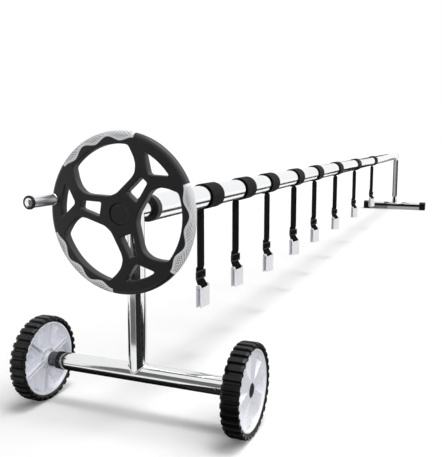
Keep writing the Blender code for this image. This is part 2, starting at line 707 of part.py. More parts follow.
def handwheel():
    """Three-spoke handwheel, its grip inserts and the cap over the hub bolt."""
    pivot = world(0.0, 0.0, REEL_HEIGHT)
    drawing = handwheel_matrix(HANDWHEEL_BACK - HANDWHEEL_THICKNESS / 2.0)
    plate_thickness = HANDWHEEL_THICKNESS + PLATE_OVERSIZE
    plate = plate_from_outlines("plate", handwheel_outlines(), plate_thickness, HANDWHEEL_CHAMFER, drawing)
    body = rounded_disc("handwheel_body", "black_plastic")
    combine(body, plate, "INTERSECT")
    before = HANDWHEEL_FRONT - CUT_PAST
    bore = (SHAFT_RADIUS + GAP) / math.cos(math.pi / TUBE_SIDES)
    combine(body, rod_tool("X", pivot, bore, before, HANDWHEEL_BACK + CUT_PAST, TUBE_SIDES), "DIFFERENCE")
    seat = rod_tool("X", pivot, HUB_BOLT_CAP_RADIUS + GAP, before, HUB_BOLT_CAP_BACK + GAP, TUBE_SIDES)
    combine(body, seat, "DIFFERENCE")
    notch_centre = world(0.0, CRANK_OFFSET_Y, REEL_HEIGHT + CRANK_OFFSET_Z)
    notch_end = HANDWHEEL_FRONT + SOCKET_DEPTH + GAP
    notch_radius = (SOCKET_RADIUS + GAP) / math.cos(math.pi / TUBE_SIDES)
    combine(body, rod_tool("X", notch_centre, notch_radius, before, notch_end, TUBE_SIDES), "DIFFERENCE")
    for index, angle in enumerate(INSERT_ANGLES):
        insert = rounded_disc("grip_insert_" + str(index + 1), "silver_grip")
        outline = rotate_outline(insert_outline(GAP), angle)
        wedge = prism_bmesh(outline, -HANDWHEEL_THICKNESS, HANDWHEEL_THICKNESS, drawing)
        combine(insert, add_object("tool", wedge), "INTERSECT")
    cap = [
        (0.0, HUB_BOLT_CAP_FRONT),
        (HUB_BOLT_CAP_RADIUS - GAP - HUB_BOLT_CAP_EDGE, HUB_BOLT_CAP_FRONT),
        (HUB_BOLT_CAP_RADIUS - GAP, HUB_BOLT_CAP_FRONT + HUB_BOLT_CAP_EDGE),
        (HUB_BOLT_CAP_RADIUS - GAP, HUB_BOLT_CAP_BACK),
        (0.0, HUB_BOLT_CAP_BACK),
    ]
    turned("hub_bolt_cap", cap, "X", pivot, "dark_plastic")


def crank_handle():
    """Silver socket with its spindle, and the grip that turns on it."""
    centre = world(0.0, CRANK_OFFSET_Y, REEL_HEIGHT + CRANK_OFFSET_Z)
    grip_floor = GRIP_END + GRIP_END_WALL
    socket = [
        (0.0, HANDWHEEL_FRONT + SOCKET_DEPTH),
        (SOCKET_RADIUS, HANDWHEEL_FRONT + SOCKET_DEPTH),
        (SOCKET_RADIUS, SOCKET_FACE + SOCKET_EDGE),
        (SOCKET_RADIUS - SOCKET_EDGE, SOCKET_FACE),
        (CRANK_SPINDLE_RADIUS, SOCKET_FACE),
        (CRANK_SPINDLE_RADIUS, grip_floor + GAP),
        (0.0, grip_floor + GAP),
    ]
    turned("crank_socket", socket, "X", centre, "chromed_plastic")
    bore = (CRANK_SPINDLE_RADIUS + GAP) / math.cos(math.pi / TUBE_SIDES)
    grip = [
        (0.0, GRIP_END),
        (GRIP_RADIUS, GRIP_END),
        (GRIP_RADIUS, GRIP_START),
        (bore, GRIP_START),
        (bore, grip_floor),
        (0.0, grip_floor),
    ]
    turned("crank_grip", grip, "X", centre, "chromed_plastic")
    ring = [
        (GRIP_RING_BORE, RING_START),
        (GRIP_RING_RADIUS - GRIP_RING_EDGE, RING_START),
        (GRIP_RING_RADIUS, RING_START - GRIP_RING_EDGE),
        (GRIP_RING_RADIUS, RING_END + GRIP_RING_EDGE),
        (GRIP_RING_RADIUS - GRIP_RING_EDGE, RING_END),
        (GRIP_RING_BORE, RING_END),
    ]
    turned("crank_grip_ring", ring, "X", centre, "dark_plastic")
    cap_radius = GRIP_RING_BORE - 2.0 * GAP
    cap = [(0.0, RING_START), (cap_radius, RING_START), (cap_radius, RING_END)]
    cap += [(cap_radius * wide, RING_END - GRIP_CAP_DOME * rise) for wide, rise in GRIP_CAP_CURVE]
    cap.append((0.0, CRANK_TIP))
    turned("crank_grip_cap", cap, "X", centre, "chromed_plastic")


def end_plug(name, tube_end, flange_outer, tube_radius, flange_radius):
    """Plug that closes a reel tube and holds its shaft; works for either end."""
    inwards = 1.0 if tube_end > flange_outer else -1.0
    spigot = tube_radius - TUBE_WALL - 2.0 * GAP
    socket = (SHAFT_RADIUS + GAP) / math.cos(math.pi / TUBE_SIDES)
    socket_end = flange_outer + inwards * (SHAFT_SPIGOT + GAP)
    seat = tube_end - inwards * GAP
    tip = tube_end + inwards * END_PLUG_SPIGOT
    profile = [
        (0.0, tip),
        (spigot, tip),
        (spigot, seat),
        (flange_radius, seat),
        (flange_radius, flange_outer),
        (socket, flange_outer),
        (socket, socket_end),
        (0.0, socket_end),
    ]
    turned(name, profile, "X", world(0.0, 0.0, REEL_HEIGHT), "dark_plastic")


def reel_tubes():
    """Shafts, end plugs, the two fixed tubes and the sliding rear tube."""
    axis = world(0.0, 0.0, REEL_HEIGHT)
    shaft_end = PLUG_FLANGE_START + SHAFT_SPIGOT
    drive_profile = rod_profile(SHAFT_RADIUS, HUB_BOLT_CAP_BACK + GAP, shaft_end)
    turned("drive_shaft", drive_profile, "X", axis, "shaft_steel")
    end_plug("front_plug", TUBE_END_FROM_POST, PLUG_FLANGE_START, TUBE_RADIUS, TUBE_RADIUS)
    inner = TUBE_RADIUS - TUBE_WALL
    front_profile = pipe_profile(TUBE_RADIUS, inner, TUBE_END_FROM_POST, FRONT_SEAM)
    front = turned("front_tube", front_profile, "X", axis, "reel_aluminium")
    neck = inner - 2.0 * GAP
    seam = FRONT_SEAM + GAP
    middle_profile = [
        (neck, seam - SEAM_SPIGOT),
        (neck, seam),
        (TUBE_RADIUS, seam),
        (TUBE_RADIUS, REAR_SEAM),
        (inner, REAR_SEAM),
        (inner, seam + TUBE_WALL),
        (neck - TUBE_WALL, seam + TUBE_WALL),
        (neck - TUBE_WALL, seam - SEAM_SPIGOT),
    ]
    middle = turned("middle_tube", middle_profile, "X", axis, "reel_aluminium")
    at_seam = world(FRONT_SEAM - SEAM_SCREW_FROM_SEAM, 0.0, REEL_HEIGHT)
    low = math.radians(SEAM_SCREW_ANGLE)
    screw_tip = neck - 2.0 * TUBE_WALL
    past = TUBE_RADIUS + CUT_PAST
    for side, label in ((-1.0, "right"), (1.0, "left")):
        direction = (0.0, side * math.cos(low), side * math.sin(low))
        drill(front, at_seam, direction, screw_tip, past)
        drill(middle, at_seam, direction, screw_tip - TUBE_WALL, past)
        screw("seam_screw_" + label, at_seam, direction, TUBE_RADIUS + GAP, screw_tip)
    rear_end = STAND_SPACING - TUBE_END_FROM_POST
    rear_inner = REAR_TUBE_RADIUS - TUBE_WALL
    rear_profile = pipe_profile(REAR_TUBE_RADIUS, rear_inner, REAR_SEAM - SLIDE_OVERLAP, rear_end)
    turned("rear_tube", rear_profile, "X", axis, "reel_aluminium")
    rear_flange = STAND_SPACING - PLUG_FLANGE_START
    end_plug("rear_plug", rear_end, rear_flange, REAR_TUBE_RADIUS, REAR_TUBE_RADIUS)
    rear_shaft_start = rear_flange - SHAFT_SPIGOT
    rear_shaft_end = REEL_HIGH_X - SHAFT_END_RECESS
    rear_shaft_profile = rod_profile(SHAFT_RADIUS, rear_shaft_start, rear_shaft_end)
    turned("rear_shaft", rear_shaft_profile, "X", axis, "shaft_steel")


def rear_stand():
    """Rear base tube with its foot caps, post and bearing sleeve."""
    half = REAR_BASE_LENGTH / 2.0 - FOOT_CAP_END_WALL - GAP
    centre = world(STAND_SPACING, 0.0, REAR_BASE_HEIGHT)
    profile = pipe_profile(REAR_BASE_RADIUS, REAR_BASE_RADIUS - REAR_BASE_WALL, -half, half)
    turned("rear_base_tube", profile, "Y", centre, "stand_steel")
    square = FOOT_CAP_HALF
    corners = [(-square, -square), (square, -square), (square, square), (-square, square)]
    outline = rounded(corners, FOOT_CAP_CORNER)
    bore = (REAR_BASE_RADIUS + GAP) / math.cos(math.pi / TUBE_SIDES)
    flat = Matrix.Translation(Vector(centre)) @ Matrix.Rotation(math.radians(90.0), 4, "X")
    outer_end = REAR_BASE_LENGTH / 2.0
    inner_end = outer_end - FOOT_CAP_LENGTH
    for side, label in ((1.0, "left"), (-1.0, "right")):
        ends = sorted((-side * outer_end, -side * inner_end))
        block = prism_bmesh(outline, ends[0], ends[1], flat)
        cap = add_object("rear_foot_cap_" + label, block, "dark_plastic", centre)
        hole = sorted((side * (outer_end - FOOT_CAP_END_WALL), side * (inner_end - CUT_PAST)))
        combine(cap, rod_tool("Y", centre, bore, hole[0], hole[1], TUBE_SIDES), "DIFFERENCE")
    stand_post("rear_post", STAND_SPACING, REAR_BASE_RADIUS, REAR_BASE_HEIGHT)
    sleeve("rear_sleeve", STAND_SPACING, -SLEEVE_INNER_END, SLEEVE_OUTER_END)


def hanging_frame(place, hang, turn):
    """Frame of a strap's hanging pieces: X along the turned webbing's width, Z up from the floor."""
    return Matrix.Translation(Vector(world(place, hang))) @ Matrix.Rotation(math.radians(-turn), 4, "Z")


def web_bmesh(place, hang, turn, root):
    """Webbing from the band down to its loop, lofted through flat sections as (height, turn, lean)."""
    turned_from = root - WEB_STRAIGHT_START
    bend = BUCKLE_HEIGHT_ABOVE_FLOOR - BUCKLE_TALL / 2.0 - WEB_THICKNESS
    loop_top = LOOP_HEIGHT_ABOVE_FLOOR + (LOOP_INNER_RADIUS + LOOP_OUTER_RADIUS) / 2.0
    sections = [(root, 0.0, 0.0)]
    for step in range(WEB_TURN_STEPS + 1):
        share = step / WEB_TURN_STEPS
        sections.append((turned_from - WEB_TURN_LENGTH * share, turn * share, 0.0))
    sections += [(bend, turn, 0.0), (loop_top, turn, LOOP_LEAN)]
    wide = WEB_WIDTH / 2.0
    thick = WEB_THICKNESS / 2.0
    corners = ((-wide, -thick), (wide, -thick), (wide, thick), (-wide, thick))
    bm = bmesh.new()
    rings = []
    for height, angle, lean in sections:
        frame = hanging_frame(place, hang, angle)
        rings.append([bm.verts.new(frame @ Vector((x, y - lean, height))) for x, y in corners])
    for ring, following in zip(rings, rings[1:]):
        for index in range(len(corners)):
            other = (index + 1) % len(corners)
            bm.faces.new((ring[index], ring[other], following[other], following[index]))
    bm.faces.new(rings[0])
    bm.faces.new(rings[-1])
    return bm


def in_frame(bm, frame):
    """Move a shape drawn in a local frame into the world."""
    bmesh.ops.transform(bm, matrix=frame, verts=bm.verts)
    return bm


def strap(number, place, hang, turn, tube_radius):
    """Band round the reel tube with its hanging webbing, which ends in a loop."""
    axis = world(place, 0.0, REEL_HEIGHT)
    inner = (tube_radius + GAP) / math.cos(math.pi / BAND_SIDES)
    outer = inner + BAND_THICKNESS
    band = pipe_profile(outer, inner, -BAND_WIDTH / 2.0, BAND_WIDTH / 2.0)
    body = turned("strap_" + str(number), band, "X", axis, "webbing", BAND_SIDES)
    root_radius = inner + BAND_THICKNESS * WEB_ROOT_SHARE
    root = REEL_HEIGHT - math.sqrt(root_radius ** 2 - hang ** 2)
    combine(body, add_object("tool", web_bmesh(place, hang, turn, root)), "UNION")
    half_width = WEB_WIDTH / 2.0
    eye = (0.0, -LOOP_LEAN, LOOP_HEIGHT_ABOVE_FLOOR)
    ring = pipe_profile(LOOP_OUTER_RADIUS, LOOP_INNER_RADIUS, -half_width, half_width)
    eyelet = turned_bmesh(ring, "X", eye, SMALL_SIDES)
    return combine(body, add_object("tool", in_frame(eyelet, hanging_frame(place, hang, turn))), "UNION")


def buckle(number, place, hang, turn):
    """Slide buckle round the webbing, a flat frame with one slot."""
    frame = hanging_frame(place, hang, turn)
    wide = BUCKLE_WIDTH / 2.0
    tall = BUCKLE_TALL / 2.0
    thick = BUCKLE_THICKNESS / 2.0
    middle = BUCKLE_HEIGHT_ABOVE_FLOOR
    shell = box_bmesh((-wide, -thick, middle - tall), (wide, thick, middle + tall))
    axis = world(place, 0.0, REEL_HEIGHT)
    body = add_object("buckle_" + str(number), in_frame(shell, frame), "dark_plastic", axis)
    slot_wide = WEB_WIDTH / 2.0 + GAP
    slot_thick = WEB_THICKNESS / 2.0 + GAP
    low = (-slot_wide, -slot_thick, middle - tall - CUT_PAST)
    high = (slot_wide, slot_thick, middle + tall + CUT_PAST)
    return combine(body, add_object("tool", in_frame(box_bmesh(low, high), frame)), "DIFFERENCE")


def tab(number, place, hang, turn):
    """Folded plate hung by its top bar in the webbing's loop; made round the bar, then turned and placed."""
    outer = TAB_THICKNESS / 2.0
    inner = outer - TAB_WALL
    bottom = outer - TAB_DROP
    outline = arc(outer, 0.0, 180.0, TAB_FOLD_STEPS)
    outline += [(-outer, bottom), (-inner, bottom)]
    outline += arc(inner, 180.0, 0.0, TAB_FOLD_STEPS)
    outline += [(inner, bottom), (outer, bottom)]
    drawing = Matrix(((0.0, 0.0, 1.0), (1.0, 0.0, 0.0), (0.0, 1.0, 0.0))).to_4x4()
    half = TAB_WIDTH / 2.0
    plate = add_object("tab_" + str(number), prism_bmesh(outline, -half, half, drawing), "white_plastic")
    slot = WEB_WIDTH / 2.0 + TAB_SLOT_CLEARANCE
    sill = -TAB_BAR_RADIUS - GAP
    notch = box_bmesh((-slot, -outer - CUT_PAST, sill), (slot, outer + CUT_PAST, outer + CUT_PAST))
    combine(plate, add_object("tool", notch), "DIFFERENCE")
    bar_half = half - TAB_WALL
    bar = turned_bmesh(rod_profile(TAB_BAR_RADIUS, -bar_half, bar_half), "X", (0.0, 0.0, 0.0), SMALL_SIDES)
    combine(plate, add_object("tool", bar), "UNION")
    lug = inner + TAB_WALL / 2.0
    for side in (-1.0, 1.0):
        edges = sorted((side * slot, side * half))
        block = box_bmesh((edges[0], -lug, sill + GAP), (edges[1], lug, TAB_BAR_RADIUS))
        combine(plate, add_object("tool", block), "UNION")
    frame = hanging_frame(place, hang, turn)
    plate.data.transform(frame.to_3x3().to_4x4())
    plate.location = frame @ Vector((0.0, -LOOP_LEAN, LOOP_HEIGHT_ABOVE_FLOOR))
    return plate


def straps():
    """All straps; the ones behind the rear seam sit on the thinner sliding tube."""
    rows = zip(STRAP_PLACES, STRAP_HANG_OFFSETS, STRAP_TURNS)
    for number, (place, hang, turn) in enumerate(rows, 1):
        on_rear_tube = place - BAND_WIDTH / 2.0 > REAR_SEAM
        strap(number, place, hang, turn, REAR_TUBE_RADIUS if on_rear_tube else TUBE_RADIUS)
        buckle(number, place, hang, turn)
        tab(number, place, hang, turn)


def main():
    """Build the whole reel."""
    clear_scene()
    front_stand()
    wheels()
    handwheel()
    crank_handle()
    reel_tubes()
    rear_stand()
    straps()


main()
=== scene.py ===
"""Looks of the pool cover reel: fine surfaces, finishes, floor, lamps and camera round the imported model.

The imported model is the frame: X runs from the handwheel end to the rear stand, Y to the left as seen
from the handwheel, Z up, the floor is z = 0, and every size is in metres.
"""

import math
from collections import namedtuple

import bmesh
import bpy
import numpy as np
from bpy.props import FloatProperty, FloatVectorProperty, IntProperty, PointerProperty
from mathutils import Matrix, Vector
from mathutils.geometry import delaunay_2d_cdt


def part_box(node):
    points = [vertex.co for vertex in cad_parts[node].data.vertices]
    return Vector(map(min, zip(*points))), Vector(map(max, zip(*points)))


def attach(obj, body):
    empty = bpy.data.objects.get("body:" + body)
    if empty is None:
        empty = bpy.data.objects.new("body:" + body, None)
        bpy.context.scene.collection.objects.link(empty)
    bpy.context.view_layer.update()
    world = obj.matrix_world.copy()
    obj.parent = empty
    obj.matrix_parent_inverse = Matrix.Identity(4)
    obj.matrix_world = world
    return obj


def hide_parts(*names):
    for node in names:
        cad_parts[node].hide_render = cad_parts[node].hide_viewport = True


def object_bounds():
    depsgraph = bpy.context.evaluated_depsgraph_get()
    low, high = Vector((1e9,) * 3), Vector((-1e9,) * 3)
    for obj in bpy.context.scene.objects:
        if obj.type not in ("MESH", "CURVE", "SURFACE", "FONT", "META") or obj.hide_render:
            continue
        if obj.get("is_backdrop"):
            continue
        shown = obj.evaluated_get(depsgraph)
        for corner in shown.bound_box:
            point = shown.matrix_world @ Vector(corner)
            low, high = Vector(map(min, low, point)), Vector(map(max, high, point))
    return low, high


bl_info = {
    "name": "Pool Cover Reel",
    "version": (1, 0, 0),
    "blender": (4, 5, 0),
    "location": "View3D > Sidebar > Reel",
    "description": "Builds the visible surfaces and finishes of a pool cover reel",
    "category": "Object",
}

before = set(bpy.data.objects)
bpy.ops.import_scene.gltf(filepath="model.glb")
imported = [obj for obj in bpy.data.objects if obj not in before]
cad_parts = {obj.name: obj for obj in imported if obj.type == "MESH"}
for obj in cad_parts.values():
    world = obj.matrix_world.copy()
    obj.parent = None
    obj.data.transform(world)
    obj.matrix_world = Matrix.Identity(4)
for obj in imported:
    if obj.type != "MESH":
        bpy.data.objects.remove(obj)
CAD_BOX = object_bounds()

# Clearances and mesh settings that every piece shares
GAP = 0.0003
MERGE_DISTANCE = 0.000004
SHARP_ANGLE = 35.0
HOLD_SHARE = 0.3
HOLD_SPARE = 2.5
FLAT_TOLERANCE = 1e-9

# Sides of round pieces
REEL_SIDES = 160
TUBE_SIDES = 128
RING_SIDES = 96
CAP_SIDES = 64

# Directions of a turned piece: along its axis, then the two across it
AXES = {
    "X": ((1.0, 0.0, 0.0), (0.0, 1.0, 0.0), (0.0, 0.0, 1.0)),
    "Y": ((0.0, 1.0, 0.0), (0.0, 0.0, 1.0), (1.0, 0.0, 0.0)),
}
SQUARE = ((-1.0, -1.0), (1.0, -1.0), (1.0, 1.0), (-1.0, 1.0))

# Slots of the finishes that have none of their own
SLOTS = {
    "screw_zinc": "shaft_steel",
    "knurled_chrome": "chromed_plastic",
    "webbing": "webbing",
    "wound_webbing": "webbing",
    "thread": "webbing",
    "tab_plastic": "white_plastic",
}


def linear(hex_colour):
    """Linear red, green and blue of an sRGB hex value."""
    values = [int(hex_colour[start:start + 2], 16) / 255.0 for start in (1, 3, 5)]
    return tuple(v / 12.92 if v <= 0.04045 else ((v + 0.055) / 1.055) ** 2.4 for v in values)


def middle(node):
    """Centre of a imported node's box."""
    low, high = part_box(node)
    return (low + high) / 2.0


POST_X = middle("front_post").x
REAR_X = middle("rear_post").x
AXLE_Z = middle("front_base_tube").z
REEL_Z = middle("front_sleeve").z
REAR_BASE_Z = middle("rear_base_tube").z
REEL_AXIS = (0.0, 0.0, REEL_Z)


class Surface:
    """Points and faces of one piece, gathered patch by patch, with three numbers marked on each point."""

    def __init__(self):
        self.points = []
        self.faces = []
        self.marks = []
        self.count = 0

    def add(self, points, faces, marks=None):
        """Add one patch; faces count from the patch's own first point."""
        points = np.asarray(points, float).reshape(-1, 3)
        self.points.append(points)
        self.faces.append(np.asarray(faces, int) + self.count)
        self.marks.append(np.zeros_like(points) if marks is None else np.asarray(marks, float).reshape(-1, 3))
        self.count += len(points)

    def grid(self, points, loop_rows=False, loop_columns=False, marks=None):
        """Add rows of points joined by quads: each quad takes two neighbours of a row and of the next row."""
        rows, columns = points.shape[:2]
        row, column = np.meshgrid(
            np.arange(rows if loop_rows else rows - 1),
            np.arange(columns if loop_columns else columns - 1),
            indexing="ij",
        )
        next_row = (row + 1) % rows
        next_column = (column + 1) % columns
        quads = np.stack((
            row * columns + column,
            row * columns + next_column,
            next_row * columns + next_column,
            next_row * columns + column,
        ), axis=-1)
        self.add(points, quads.reshape(-1, 4), marks)

    def polygon(self, points):
        """Add one flat face with all the given corners."""
        self.add(points, np.arange(len(points))[None, :])


def make_piece(name, surface, look, body, nodes, mark_name=None, slot=None):
    """Weld the patches, turn the faces outwards and put the piece on its body in place of its nodes."""
    mesh = bpy.data.meshes.new(name)
    faces = [face for block in surface.faces for face in block.tolist()]
    mesh.from_pydata(np.concatenate(surface.points).tolist(), [], faces)
    if mark_name:
        attribute = mesh.attributes.new(mark_name, "FLOAT_VECTOR", "POINT")
        attribute.data.foreach_set("vector", np.concatenate(surface.marks).astype(np.float32).ravel())
    bm = bmesh.new()
    bm.from_mesh(mesh)
    bmesh.ops.remove_doubles(bm, verts=bm.verts, dist=MERGE_DISTANCE)
    bmesh.ops.recalc_face_normals(bm, faces=bm.faces)
    bm.to_mesh(mesh)
    bm.free()
    mesh.shade_smooth()
    mesh.set_sharp_from_angle(angle=math.radians(SHARP_ANGLE))
    mesh.materials.append(finish(look))
    piece = bpy.data.objects.new(name, mesh)
    bpy.context.scene.collection.objects.link(piece)
    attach(piece, body)
    if nodes:
        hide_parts(*nodes)
    slot or SLOTS.get(look, look)
    return piece


def unit(vectors):
    """Each vector divided by its own length."""
    vectors = np.asarray(vectors, float)
    return vectors / np.linalg.norm(vectors, axis=-1, keepdims=True)


def full_turn(count):
    """Evenly spaced angles of one full turn."""
    return np.linspace(0.0, 2.0 * math.pi, count, endpoint=False)


def soften(corners, closed=True, steps=5):
    """Outline whose corners (x, y, reach) become arcs that touch both sides at that reach from the corner.

    The arc's centre lies on the corner's bisector, and a holding point stands just outside each end of the
    arc so that the flat beside it keeps its shading.
    """
    corners = np.asarray(corners, float)
    count = len(corners)
    outline = []
    for index, (x, y, reach) in enumerate(corners):
        corner = np.array((x, y))
        at_end = not closed and index in (0, count - 1)
        if reach <= 0.0 or at_end:
            outline.append(corner[None, :])
            continue
        hold = reach * HOLD_SHARE
        sides = []
        for other in (corners[index - 1], corners[(index + 1) % count]):
            side = other[:2] - corner
            spare = np.linalg.norm(side) - reach - other[2]
            sides.append((unit(side), spare > HOLD_SPARE * hold))
        (before, hold_before), (after, hold_after) = sides
        half = math.acos(np.clip(before @ after, -1.0, 1.0)) / 2.0
        radius = reach * math.tan(half)
        centre = corner + unit(before + after) * (radius / math.sin(half))
        first = (corner + before * reach - centre) / radius
        last = (corner + after * reach - centre) / radius
        sweep = math.acos(np.clip(first @ last, -1.0, 1.0))
        share = np.linspace(0.0, 1.0, steps + 1)[:, None]
        arc = (np.sin((1.0 - share) * sweep) * first + np.sin(share * sweep) * last) / math.sin(sweep)
        points = [centre + radius * arc]
        if hold_before:
            points.insert(0, (corner + before * (reach + hold))[None, :])
        if hold_after:
            points.append((corner + after * (reach + hold))[None, :])
        outline.append(np.concatenate(points))
    return np.concatenate(outline)


def lathe(surface, profile, axis, centre, sides=TUBE_SIDES):
    """Closed profile of (radius, along) carried round an axis: centre + r cos t u + r sin t v + a w."""
    along_way, first_way, second_way = (np.array(way) for way in AXES[axis])
    radius, along = np.asarray(profile, float)[:, :2].T
    turn = full_turn(sides)[:, None]
    ring = np.cos(turn) * first_way + np.sin(turn) * second_way
    points = np.array(centre) + radius[:, None, None] * ring + along[:, None, None] * along_way
    surface.grid(points, loop_rows=True, loop_columns=True)


def turned_piece(name, node, profile, centre, look, body, axis="X", sides=RING_SIDES, slot=None):
    """Piece of one closed profile carried round an axis."""
    surface = Surface()
    lathe(surface, profile, axis, centre, sides)
    return make_piece(name, surface, look, body, [node], slot=slot)


def pipe(outer, inner, low, high, edge):
    """Profile of a tube with softened ends."""
    return soften([
        (outer, low, edge),
        (outer, high, edge),
        (inner, high, edge / 2.0),
        (inner, low, edge / 2.0),
    ])


def along_range(node, axis):
    """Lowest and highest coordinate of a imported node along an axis."""
    low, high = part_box(node)
    index = "XYZ".index(axis)
    return low[index], high[index]


def offset_loop(loop, distance):
    """Closed outline with every point moved along its mitre, to the left of the way it runs."""
    side = unit(np.roll(loop, -1, axis=0) - loop)
    normal = np.stack((-side[:, 1], side[:, 0]), axis=1)
    before = np.roll(normal, 1, axis=0)
    mitre = (normal + before) / (1.0 + (normal * before).sum(axis=1, keepdims=True))
    return loop + distance * mitre


def circle(radius, sides, centre=(0.0, 0.0)):
    """Round outline about a centre."""
    turn = full_turn(sides)
    return np.array(centre) + radius * np.stack((np.cos(turn), np.sin(turn)), axis=1)


def turn_points(points, degrees):
    """Flat points turned about the origin."""
    angle = math.radians(degrees)
    turn = np.array(((math.cos(angle), math.sin(angle)), (-math.sin(angle), math.cos(angle))))
    return np.asarray(points, float) @ turn


def arc_points(radius, first, last, steps):
    """Points of an arc between two angles in degrees, both ends included."""
    angle = np.radians(np.linspace(first, last, steps + 1))
    return radius * np.stack((np.cos(angle), np.sin(angle)), axis=1)


def cornered_arc(radius, first, last, steps, corner):
    """Corners (x, y, reach) of an arc between two angles in degrees; only its two ends are softened."""
    points = arc_points(radius, first, last, steps)
    reach = np.zeros(len(points))
    reach[[0, -1]] = corner
    return np.column_stack((points, reach))


def rounded_box(half_width, half_height, corner, steps):
    """Rectangle about the origin with rounded corners."""
    return soften([(x * half_width, y * half_height, corner) for x, y in SQUARE], steps=steps)


def inside(points, loop):
    """Which points lie in a closed outline, by counting the sides that a line to the right crosses."""
    start, end = loop, np.roll(loop, -1, axis=0)
    x, y = points[:, :1], points[:, 1:]
    spans = (start[:, 1] > y) != (end[:, 1] > y)
    rise = np.where(end[:, 1] == start[:, 1], 1.0, end[:, 1] - start[:, 1])
    crossing = start[:, 0] + (y - start[:, 1]) * (end[:, 0] - start[:, 0]) / rise
    return (spans & (x < crossing)).sum(axis=1) % 2 == 1


def fill(surface, outer, holes, height, place, creases=()):
    """Patch between an outline and its holes: a Delaunay triangulation that keeps them and inner creases.

    The height is one number for a flat patch, or a function of the patch's flat points.
    """
    loops = [outer] + list(holes)
    starts = np.cumsum([0] + [len(loop) for loop in loops])
    edges = []
    for start, loop in zip(starts, loops):
        index = np.arange(len(loop))
        edges += np.stack((index + start, (index + 1) % len(loop) + start), axis=1).tolist()
    for line in creases:
        index = np.arange(len(line) - 1) + sum(map(len, loops))
        edges += np.stack((index, index + 1), axis=1).tolist()
        loops.append(line)
    made = delaunay_2d_cdt([Vector(point) for point in np.concatenate(loops)], edges, [], 0, FLAT_TOLERANCE)
    points = np.array([tuple(point) for point in made[0]])
    triangles = np.array([tuple(face) for face in made[2]])
    centres = points[triangles].mean(axis=1)
    kept = inside(centres, outer)
    for hole in holes:
        kept &= ~inside(centres, hole)
    heights = height(points) if callable(height) else np.full(len(points), height)
    surface.add(place(np.column_stack((points, heights))), triangles[kept])


def edge_steps(round_size, floor, top=0.0, draft=0.0, steps=4):
    """Offsets and heights from the face of a plate over a round edge down a wall; the face is at the top."""
    quarter = np.linspace(0.0, math.pi / 2.0, steps + 1)
    offsets = -round_size * (1.0 - np.sin(quarter))
    heights = top - round_size * (1.0 - np.cos(quarter))
    hold = -round_size * (1.0 + HOLD_SHARE)
    return (
        np.concatenate(([hold], offsets, [draft])),
        np.concatenate(([top], heights, [floor])),
    )


def both_edges(round_size, half):
    """Offsets and heights over the round edges of a plate, from its front face round to its back face."""
    offsets, heights = edge_steps(round_size, 0.0, half)
    return np.concatenate((offsets, offsets[-2::-1])), np.concatenate((heights, -heights[-2::-1]))


def wall(surface, loop, offsets, heights, place):
    """Edge profile carried round a closed outline; each row is the outline moved by its own offset."""
    rows = [np.column_stack((offset_loop(loop, o), np.full(len(loop), h))) for o, h in zip(offsets, heights)]
    surface.grid(place(np.stack(rows)), loop_columns=True)
    return rows[0][:, :2], rows[-1][:, :2]


def rings(surface, profile, sides, place):
    """Open profile of (radius, height) carried round; gives its first and last ring as flat outlines."""
    rows = [np.column_stack((circle(radius, sides), np.full(sides, height))) for radius, height in profile]
    surface.grid(place(np.stack(rows)), loop_columns=True)
    return rows[0][:, :2], rows[-1][:, :2]


def local_frame(origin, first, second, third):
    """Function that takes (a, b, c) to origin + a first + b second + c third."""
    ways = np.array((first, second, third), float)
    start = np.array(origin, float)
    return lambda points: start + np.asarray(points, float) @ ways


def length(name, description, default):
    """Setting for a length in metres."""
    return FloatProperty(name=name, description=description, default=default, unit="LENGTH")


def colour(name, description, hex_colour):
    """Setting for a colour, given as an sRGB hex value."""
    return FloatVectorProperty(
        name=name, description=description, subtype="COLOR", size=3, min=0.0, max=1.0,
        default=linear(hex_colour))


def strength(name, description, default):
    """Setting for the strength of a light."""
    return FloatProperty(name=name, description=description, default=default, min=0.0)


class ReelSizes(bpy.types.PropertyGroup):
    """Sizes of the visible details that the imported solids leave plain."""

    tube_edge: length("Tube edge", "Round on the cut ends of the tubes", 0.0004)
    weld_flare: length("Weld flare", "How far a post swells where it is welded to its base", 0.0022)
    window_round: length("Window edge", "Round on the edges of the handwheel's openings", 0.0028)
    rim_round: length("Handwheel edge", "Round on the handwheel's outer edge", 0.0120)
    lug_height: length("Lug height", "Depth of the grooves between the tread blocks", 0.0066)
    lug_count: IntProperty(name="Lugs", description="Tread blocks round one tyre", default=32, min=8)
    pocket_depth: length("Pocket depth", "Depth of the pockets in a wheel's outer face", 0.0200)
    rib_thickness: length("Rib thickness", "Thickness of the ribs inside a wheel", 0.0026)
    knurl_depth: length("Grip pattern depth", "Depth of the diamonds pressed into the crank's grip", 0.00012)
    cuff_turns: FloatProperty(
        name="Cuff turns", description="How many times the wide webbing is wound on the tube",
        default=2.94, min=1.0)
    cuff_thickness: length("Cuff thickness", "Thickness of the wound webbing", 0.0014)
    web_thickness: length("Webbing thickness", "Thickness of the hanging webbing", 0.0016)


